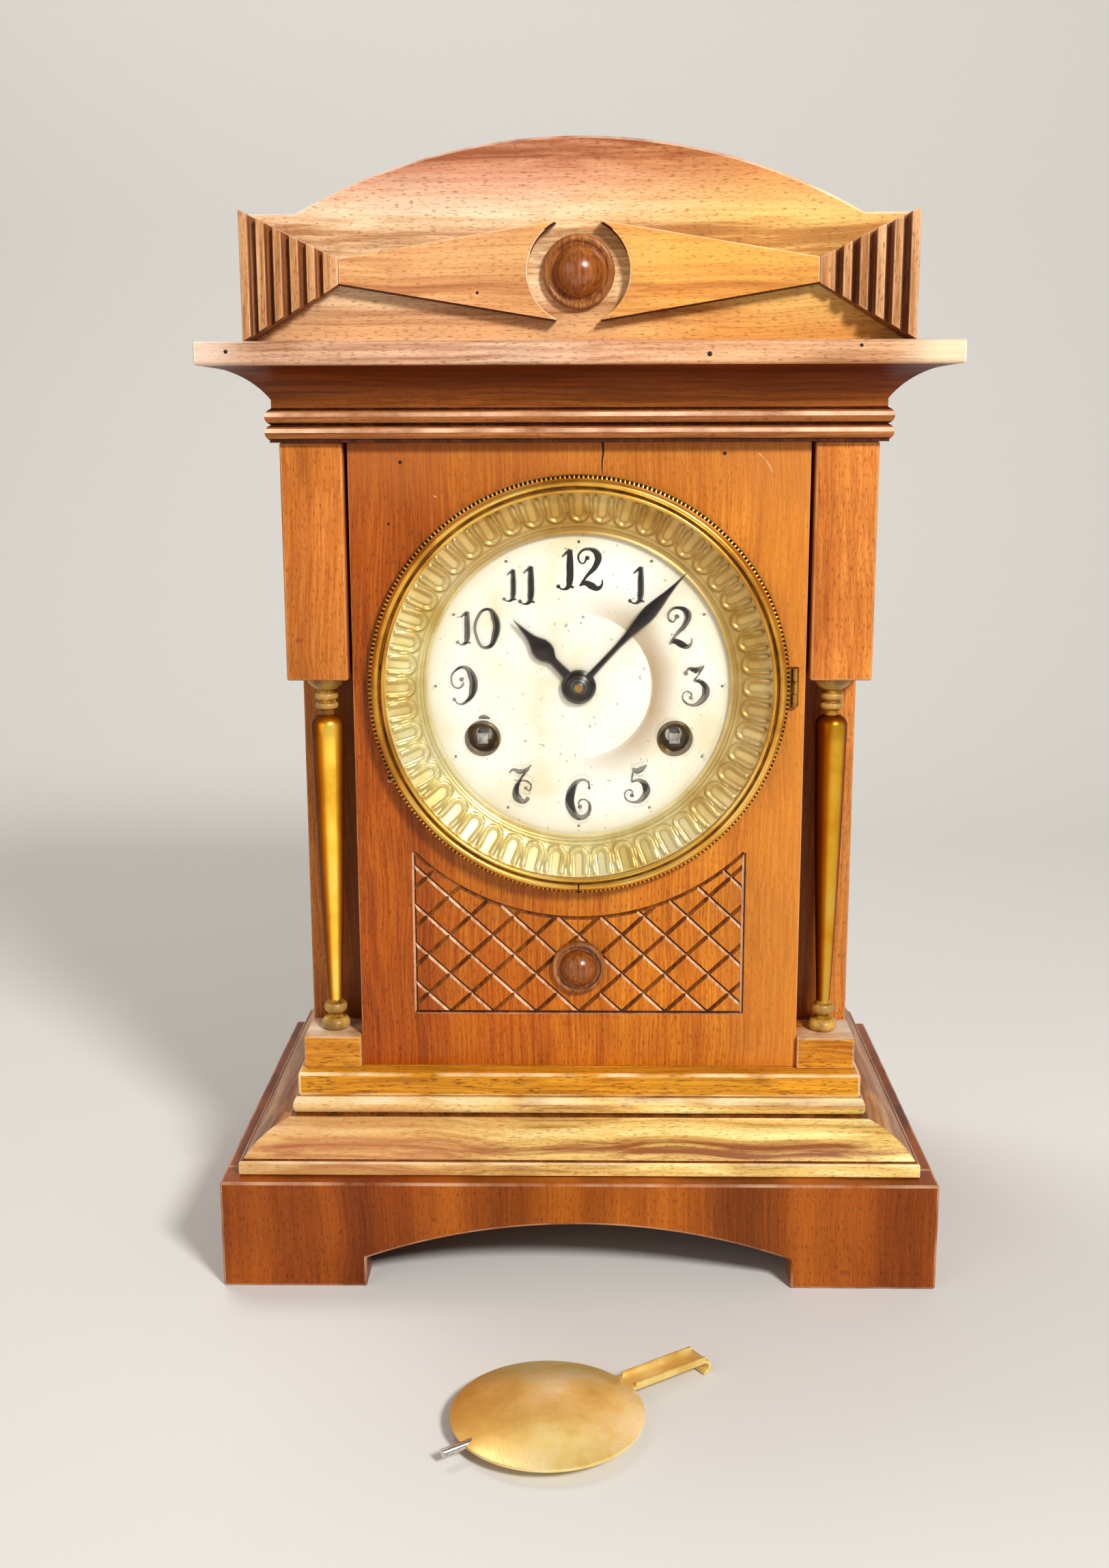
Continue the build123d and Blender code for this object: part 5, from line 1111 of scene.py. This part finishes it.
# numeral strokes as (x, z, width) in millimetres, and ball ends as (x, z, radius)
strokes = {
    "0": {"lines": [[(0.6, 7.0, 0.8), (-3.2, 3.4, 0.9), (-3.5, -2.6, 0.9), (0.0, -7.0, 0.9),
          (3.5, -2.0, 2.3), (3.3, 3.8, 2.3)]], "balls": []},
    "1": {"lines": [[(-1.9, 4.6, 0.5), (-0.4, 6.0, 0.8), (0.9, 7.3, 0.7)], [(0.9, 7.2, 1.5),
          (0.9, 2.0, 2.1), (0.8, -3.6, 2.1), (0.2, -6.0, 1.4), (-1.6, -6.8, 0.5), (-3.1, -6.0, 0.5)],
          [(0.6, -5.4, 0.9), (1.5, -5.9, 0.8), (2.3, -6.2, 0.6)]], "balls": [(-3.2, -5.8, 0.75)]},
    "2": {"lines": [[(-1.3, 3.8, 0.6), (-2.5, 2.3, 0.5), (-4.0, 3.5, 0.6), (-3.5, 6.1, 0.7),
          (-0.3, 7.3, 0.9), (2.7, 5.2, 2.2), (2.1, 1.7, 1.7), (-1.2, -2.2, 0.9), (-3.6, -5.6, 0.5)],
          [(-3.7, -5.6, 0.5), (-1.9, -4.6, 1.5), (0.6, -5.6, 2.2), (2.7, -6.5, 1.4), (4.2, -5.2, 0.7),
          (4.3, -3.4, 0.4)]], "balls": [(-1.0, 4.2, 0.85)]},
    "3": {"lines": [[(-3.2, 4.9, 0.6), (-2.0, 6.2, 0.9), (0.5, 5.7, 1.9), (3.4, 7.3, 0.5)],
          [(3.2, 7.0, 0.5), (1.5, 4.3, 0.5), (-0.3, 1.8, 0.6)], [(-0.3, 1.8, 0.6), (2.3, 1.5, 1.3),
          (4.1, -1.6, 2.4), (2.3, -5.6, 1.7), (-1.2, -6.8, 0.7), (-4.1, -4.6, 0.5), (-3.3, -2.2, 0.5),
          (-1.2, -2.6, 0.5), (-1.1, -4.0, 0.5)]], "balls": [(-3.2, 4.6, 0.85), (-1.3, -4.2, 0.75)]},
    "5": {"lines": [[(-1.4, 5.9, 0.7), (0.3, 5.0, 1.8), (2.2, 5.8, 1.7), (4.0, 7.3, 0.4)],
          [(-0.9, 5.7, 0.6), (-1.3, 3.4, 0.6), (-1.7, 0.9, 0.6)], [(-1.7, 0.9, 0.6), (1.3, 1.4, 1.2),
          (3.9, -1.4, 2.4), (2.3, -5.5, 1.7), (-1.1, -6.8, 0.7), (-4.0, -4.8, 0.5), (-3.3, -2.4, 0.5),
          (-1.3, -2.7, 0.5), (-1.3, -4.0, 0.5)]], "balls": [(-1.5, -4.2, 0.75)]},
    "6": {"lines": [[(3.9, 4.4, 0.6), (3.2, 6.5, 0.6), (0.4, 6.9, 1.0), (-2.7, 2.6, 2.6), (-2.9, -2.8, 2.8),
          (0.4, -6.8, 1.7), (3.9, -4.2, 1.1), (3.3, -0.9, 0.6), (0.9, -0.2, 0.5), (-0.3, -2.0, 0.5)]],
          "balls": [(0.5, -2.8, 0.85), (3.8, 4.2, 0.6)]},
    "7": {"lines": [[(-4.6, 4.2, 0.4), (-3.2, 5.4, 0.9), (-0.6, 4.7, 1.6), (1.7, 5.4, 1.0),
          (3.7, 7.2, 0.4)], [(2.8, 5.9, 0.5), (-0.4, 1.8, 0.7), (-2.1, -2.4, 2.0), (-1.5, -5.2, 2.5),
          (0.9, -6.5, 1.5), (2.2, -5.9, 0.8)], [(-0.5, 1.2, 0.5), (1.7, 1.2, 0.6), (3.5, -0.6, 0.6),
          (2.7, -2.4, 0.5), (1.6, -1.8, 0.5)]], "balls": [(2.2, -5.6, 0.85), (1.5, -1.5, 0.7)]},
    "9": {"lines": [[(-3.2, -5.2, 0.5), (-1.6, -6.6, 0.5), (1.5, -5.4, 1.0), (3.7, -0.8, 2.6),
          (3.1, 4.0, 2.4), (0.5, 6.9, 1.0), (-2.9, 5.6, 0.6), (-4.3, 2.4, 0.6), (-2.9, -0.5, 0.6),
          (-0.5, -0.2, 0.5), (0.2, 1.6, 0.5)]], "balls": [(-3.3, -4.9, 0.7), (-0.5, 2.5, 0.85)]},
}
closedDigits = ("0",)
numerals = {12: (("1", -4.0, 1.0), ("2", 4.0, 1.0)), 1: (("1", 0.4, 0.92),), 2: (("2", 0, 1.0),),
            3: (("3", 0, 1.0),), 5: (("5", 0, 0.98),), 6: (("6", 0, 1.0),), 7: (("7", 0, 0.98),),
            9: (("9", 0, 0.98),), 10: (("1", -4.6, 0.84), ("0", 2.8, 0.98)),
            11: (("1", -3.2, 0.8), ("1", 2.9, 0.95))}
windingDash = [(-1.4, 7.6, 0.7), (0.6, 7.9, 1.3), (2.6, 7.3, 0.6)]
ink = {"spread": 1.2, "depth": 0.5, "thin": 0.05, "roundSteps": 2, "curveSteps": 7}
flatInk = Matrix.Diagonal((1, ink["thin"], 1, 1))


def addStroke(bm, points, place, closed=False):
    curve = bpy.data.curves.new("stroke", "CURVE")
    curve.dimensions = "3D"
    curve.bevel_depth = ink["depth"] * mm
    curve.bevel_resolution = ink["roundSteps"]
    curve.resolution_u = ink["curveSteps"]
    curve.use_fill_caps = True
    spline = curve.splines.new("BEZIER")
    spline.bezier_points.add(len(points) - 1)
    spline.use_cyclic_u = closed
    for spot, (x, z, width) in zip(spline.bezier_points, points):
        spot.co = Vector((x, 0, z)) * mm
        spot.radius = width * ink["spread"]
        spot.handle_left_type = spot.handle_right_type = "AUTO"
    holder = linkObject("stroke", curve)
    graph = bpy.context.evaluated_depsgraph_get()
    mesh = bpy.data.meshes.new_from_object(holder.evaluated_get(graph))
    bpy.data.objects.remove(holder)
    bpy.data.curves.remove(curve)
    mesh.transform(place)
    bm.from_mesh(mesh)
    bpy.data.meshes.remove(mesh)


def addBall(bm, x, z, radius, place):
    ball = Matrix.Translation(Vector((x, 0, z)) * mm)
    bmesh.ops.create_uvsphere(bm, u_segments=12, v_segments=6, radius=radius * mm, matrix=place @ ball)


# a place on the dial's face, from an angle and a radius in millimetres
def dialSpot(degrees, radius):
    turn = math.radians(degrees)
    centre = Vector((dialCentre.x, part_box("dial")[0].y, dialCentre.z))
    return centre + Vector((math.cos(turn), 0, math.sin(turn))) * radius * mm


def buildNumerals():
    d = dialShape
    bm = bmesh.new()
    for hour, digits in numerals.items():
        spot = dialSpot(90 - 30 * hour, d["numerals"])
        for digit, shift, size in digits:
            place = Matrix.Translation(spot + Vector((shift * mm, 0, 0))) @ flatInk @ Matrix.Scale(size, 4)
            for line in strokes[digit]["lines"]:
                addStroke(bm, line, place, digit in closedDigits)
            for ball in strokes[digit]["balls"]:
                addBall(bm, *ball, place)
    for mark in range(12):
        addBall(bm, 0, 0, d["dotSize"], Matrix.Translation(dialSpot(30 * mark, d["dots"])) @ flatInk)
    left = places["strike_winding"]
    addStroke(bm, windingDash, Matrix.Translation((left.x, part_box("dial")[0].y, left.z)) @ flatInk)
    finishPiece("dial_numerals", bm, [numeralInk], "case", sharp=80)
    print("numerals drawn")


# hands: half outlines as (half width, way along) pairs, drawn pointing up
handShapes = {
    "minute_hand": {"angle": 43.0, "body": "minute_arbor", "hub": 4.6, "bore": 1.5, "half": [
        (1.25, 3.0), (1.05, 12.0), (1.0, 20.0), (1.25, 25.0), (1.9, 30.0), (2.55, 34.5), (2.6, 37.0),
        (2.0, 41.0), (1.25, 45.0), (0.62, 49.5), (0.12, 55.2)]},
    "hour_hand": {"angle": -44.0, "body": "hour_pipe", "hub": 6.2, "bore": 2.6, "half": [
        (1.75, 5.0), (1.5, 10.0), (1.5, 13.0), (2.2, 14.4), (3.3, 16.0), (3.75, 18.2), (3.4, 20.4),
        (2.3, 22.4), (1.5, 24.4), (0.95, 27.2), (0.55, 30.2), (0.12, 33.2)]},
}
handEdge = {"rounding": 0.16, "angle": 60, "steps": 48}
# the hub's turned foot and top as (way in from its rim, rise over the blade's back or face)
hubFoot = ((0.1, 0.0), (0.0, 0.15))
hubTop = ((0.0, -0.2), (0.2, 0.0), (0.9, 0.1), (1.3, 0.35), (1.7, 0.1))
# the nut's foot and top as (radius, way from its end)
handNut = {"foot": ((1.5, 0.0), (3.1, 0.0), (3.1, 0.3), (2.5, 0.5)),
           "top": ((2.4, 0.5), (1.9, 0.1), (1.5, 0.0)), "steps": 40}


def buildBlade(nodeName, shape):
    low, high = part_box(nodeName)
    bm = bmesh.new()
    half = shape["half"]
    right, left = ([bm.verts.new((side * x * mm, high.y, z * mm)) for x, z in half] for side in (1, -1))
    for order in range(len(right) - 1):
        bm.faces.new((right[order], right[order + 1], left[order + 1], left[order]))
    bmesh.ops.recalc_face_normals(bm, faces=bm.faces)
    raised = bmesh.ops.extrude_face_region(bm, geom=bm.faces[:])
    tops = [v for v in raised["geom"] if isinstance(v, bmesh.types.BMVert)]
    bmesh.ops.translate(bm, verts=tops, vec=(0, low.y - high.y, 0))
    bmesh.ops.recalc_face_normals(bm, faces=bm.faces)
    middle = (low.y + high.y) / 2
    steep = math.radians(handEdge["angle"])
    rims = [e for e in bm.edges if len(e.link_faces) == 2 and e.calc_face_angle() > steep
            and all(v.co.y < middle for v in e.verts)]
    bmesh.ops.bevel(bm, geom=rims, offset=handEdge["rounding"] * mm, offset_type="OFFSET", segments=2,
                    profile=0.5, affect="EDGES", material=-1)
    thick = (high.y - low.y) / mm
    hub, bore = shape["hub"], shape["bore"]
    ring = [(bore, 0)] + [(hub - inward, -rise) for inward, rise in hubFoot]
    ring += [(hub - inward, -thick - rise) for inward, rise in hubTop]
    ring += [(bore, -thick - hubTop[-1][1])]
    joinInto(bm, turnProfile(ring, Vector((0, high.y, 0)), alongY, handEdge["steps"]))
    turn = Matrix.Rotation(math.radians(shape["angle"]), 4, "Y")
    place = Matrix.Translation((dialCentre.x, 0, dialCentre.z)) @ turn
    bmesh.ops.transform(bm, matrix=place, verts=bm.verts)
    finishPiece(nodeName + "_blade", bm, [blackEnamel], shape["body"], [nodeName], sharp=50)


def buildHands():
    for nodeName, shape in handShapes.items():
        buildBlade(nodeName, shape)
    low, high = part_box("hand_nut")
    tall = (high.y - low.y) / mm
    profile = [(radius, -rise) for radius, rise in handNut["foot"]]
    profile += [(radius, drop - tall) for radius, drop in handNut["top"]]
    bm = turnProfile(profile, Vector((dialCentre.x, high.y, dialCentre.z)), alongY, handNut["steps"])
    finishPiece("hand_nut_turned", bm, [metals["gong"]], "minute_arbor", ["hand_nut"], sharp=50)
    print("hands built")


# pendulum bob: a lens with faint rings from the lathe
bobShape = {"radius": 30.38, "belly": 4.2, "rim": 0.9, "ringDepth": 0.05, "ringPace": 2.1, "ringsEnd": 1.0,
            "arcSteps": 16, "steps": 128}


def buildBob():
    b = bobShape
    low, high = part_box("bob_disc")
    centre = Vector(((low.x + high.x) / 2, (low.y + high.y) / 2, 0))
    tall = (high.z - low.z) / mm
    seam = b["belly"] + b["rim"]
    profile = []
    for rise, crown, sign in ((b["belly"], 0.0, -1), (tall - seam, tall, 1)):
        size, spread = capArc(b["radius"], rise)
        curve = arcPoints(0, 0, size, 90, 90 - spread, b["arcSteps"])
        profile += [(x, crown + sign * (y - size)) for x, y in curve][::-sign]
    bm = turnProfile(profile, centre, alongZ, b["steps"])
    for vert in bm.verts:
        reach = math.hypot(vert.co.x - centre.x, vert.co.y - centre.y) / mm
        if vert.co.z > seam * mm and reach < b["radius"] - b["ringsEnd"]:
            vert.co.z -= b["ringDepth"] * mm * (0.5 + 0.5 * math.sin(reach * b["ringPace"]))
    finishPiece("bob_lens", bm, [metals["bob"]], "bob", ["bob_disc"], sharp=40)
    for nodeName, pieceName, metal, slotName, rounding in (
            ("bob_hook", "bob_hook_strip", "bob", "brass", 0.18),
            ("bob_rod", "bob_rod_steel", "square", "steel", 0.25)):
        bm = copyNode(nodeName)
        softenEdges(bm, rounding)
        finishPiece(pieceName, bm, [metals[metal]], "bob", [nodeName], sharp=45)
    print("bob built")


# small marks of age: nail and worm holes as (x, z, size), a crack and scratches as lines of (x, z, width)
wormHoles = {"front_panel": [(-62.0, 293.2, 0.9), (-66.5, 272.0, 0.7), (50.5, 296.0, 0.9),
                             (-68.2, 181.5, 0.8)],
             "cornice_slab": [(-116.0, 329.6, 0.9), (43.0, 328.4, 1.1), (92.5, 331.0, 0.8)],
             "bow_overlays": [(-34.0, 349.2, 0.7)]}
cracks = [[(8.2, 299.9, 0.7), (8.5, 297.0, 0.6), (8.1, 293.0, 0.45), (8.3, 288.8, 0.2)]]
scratchLines = [[(62.4, 296.0, 0.3), (65.2, 293.0, 0.45), (67.4, 289.2, 0.25)],
                [(-69.0, 180.2, 0.5), (-67.2, 180.0, 0.6)], [(-50.6, 281.8, 0.3), (-49.6, 281.2, 0.3)]]
holeSpot = {"proud": 0.02, "foot": 0.8, "top": 0.7, "depth": 0.12, "sides": 14}


def buildAgeMarks():
    h = holeSpot
    dark, pale = bmesh.new(), bmesh.new()
    upright = Matrix.Rotation(math.radians(90), 4, "X")
    for nodeName, spots in wormHoles.items():
        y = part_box(nodeName)[0].y - h["proud"] * mm
        for x, z, size in spots:
            bmesh.ops.create_cone(dark, cap_ends=True, segments=h["sides"], radius1=h["foot"] * size * mm,
                                  radius2=h["top"] * size * mm, depth=h["depth"] * mm,
                                  matrix=Matrix.Translation((x * mm, y, z * mm)) @ upright)
    onPanel = Matrix.Translation((0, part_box("front_panel")[0].y, 0)) @ flatInk
    for bm, lines in ((dark, cracks), (pale, scratchLines)):
        for line in lines:
            addStroke(bm, line, onPanel)
    finishPiece("worm_and_nail_holes", dark, [holeShade], "case", sharp=60)
    finishPiece("panel_scratches", pale, [woods["groovePale"]], "case", sharp=60)
    print("age marks added")


# inner works and fittings keep their CAD shape and get their metal
fittings = {"brass": ["door_hinges", "door_hinge_leaves", "door_button", "button_screw", "bezel_hinge"],
            "wheel": ["front_plate", "back_plate", "plate_pillars", "movement_brackets", "centre_wheel",
                      "hour_wheel", "minute_wheel", "second_wheel", "third_wheel", "escape_wheel",
                      "going_great_wheel", "strike_great_wheel", "count_wheel", "pin_wheel", "locking_wheel",
                      "fly"],
            "steel": ["mainsprings", "anchor", "pendulum_leader", "hammer"],
            "square": ["going_winding_arbor", "strike_winding_arbor"],
            "gong": ["gong", "gong_block"]}


def dressWorks():
    for metalName, names in fittings.items():
        for name in names:
            for slot in nodes[name].material_slots:
                slot.material = metals[metalName]
    print("works dressed")


# floor, light and camera, in metres; the paper's fibre and relief and the view's place are in millimetres
stage = {"floor": "#d9d6d0", "rough": 0.9, "fibre": 3, "relief": 0.05, "reliefDepth": 0.2,
         "world": "#f4f1ec", "worldStrength": 0.24, "ahead": -3.0, "wall": 1.1, "sweep": 0.5,
         "sweepSteps": 14, "wallTop": 3.0, "half": 4.0}
lamps = {"key": {"place": (0.75, -1.35, 1.15), "size": 0.34, "power": 33},
         "fill": {"place": (-1.1, -1.25, 0.7), "size": 1.2, "power": 5},
         "back": {"place": (-0.5, 0.55, 1.6), "size": 0.7, "power": 9}}
lampAim = Vector((0, 0, 0.2))
view = {"place": (2.152, -662.169, 305.396), "pitch": 11.693, "yaw": -1.0189, "roll": -0.1585, "lens": 39.712,
        "sensor": 36.0}


# Matt paper: an even pale ground with a faint fibre and no gloss
def makeFloorPaper():
    paper, tree, coord = startMaterial("floor, matt paper")
    fibre = addNode(tree, "TexNoise", {"Vector": coord, "Scale": 1000 / stage["fibre"], "Detail": 3})
    bump = addNode(tree, "Bump", {
        "Height": fibre.outputs[0], "Strength": stage["relief"], "Distance": stage["reliefDepth"] * mm})
    shader = addNode(tree, "BsdfPrincipled", {
        "Base Color": toLinear(stage["floor"]), "Roughness": stage["rough"], "Normal": bump.outputs[0]})
    closeMaterial(tree, shader)
    return paper


def buildFloor():
    s = stage
    bm = bmesh.new()
    curve = arcPoints(s["wall"] - s["sweep"], s["sweep"], s["sweep"], -90, 0, s["sweepSteps"])
    line = [(s["ahead"], 0.0)] + curve + [(s["wall"], s["wallTop"])]
    verts = [bm.verts.new((-s["half"], y, z)) for y, z in line]
    edges = [bm.edges.new(pair) for pair in zip(verts, verts[1:])]
    swept = bmesh.ops.extrude_edge_only(bm, edges=edges)
    moved = [item for item in swept["geom"] if isinstance(item, bmesh.types.BMVert)]
    bmesh.ops.translate(bm, verts=moved, vec=(2 * s["half"], 0, 0))
    bmesh.ops.recalc_face_normals(bm, faces=bm.faces)
    for face in bm.faces:
        face.smooth = True
    floor = linkObject("floor", toMesh("floor", bm, [makeFloorPaper()]))


def buildStage():
    buildFloor()
    world = bpy.data.worlds.new("studio")
    world.use_nodes = True
    background = world.node_tree.nodes["Background"]
    background.inputs["Color"].default_value = toLinear(stage["world"])
    background.inputs["Strength"].default_value = stage["worldStrength"]
    bpy.context.scene.world = world
    for name, lamp in lamps.items():
        data = bpy.data.lights.new(name, "AREA")
        data.shape = "DISK"
        data.size = lamp["size"]
        data.energy = lamp["power"]
        light = linkObject(name, data)
        light.location = lamp["place"]
        aim = lampAim - Vector(lamp["place"])
        light.rotation_euler = aim.to_track_quat("-Z", "Y").to_euler()
    bpy.context.scene.view_settings.view_transform = "Standard"
    print("stage lit")


def buildCamera():
    pitch, yaw, roll = (math.radians(view[k]) for k in ("pitch", "yaw", "roll"))
    ahead = Vector((math.sin(yaw) * math.cos(pitch), math.cos(yaw) * math.cos(pitch), -math.sin(pitch)))
    right = Vector((math.cos(yaw), -math.sin(yaw), 0))
    up = right.cross(ahead)
    tiltedRight = math.cos(roll) * right + math.sin(roll) * up
    tiltedUp = -math.sin(roll) * right + math.cos(roll) * up
    data = bpy.data.cameras.new("photo view")
    data.sensor_width = view["sensor"]
    data.lens = view["lens"]
    camera = linkObject("photo view", data)
    turn = Matrix((tiltedRight, tiltedUp, -ahead)).transposed().to_4x4()
    camera.matrix_world = Matrix.Translation(Vector(view["place"]) * mm) @ turn
    bpy.context.scene.camera = camera
    print("camera set")


buildCamera()
buildStage()
buildBase()
buildCase()
buildColumns()
buildCornice()
buildPediment()
buildBezel()
buildDial()
buildNumerals()
buildHands()
buildBob()
buildAgeMarks()
dressWorks()
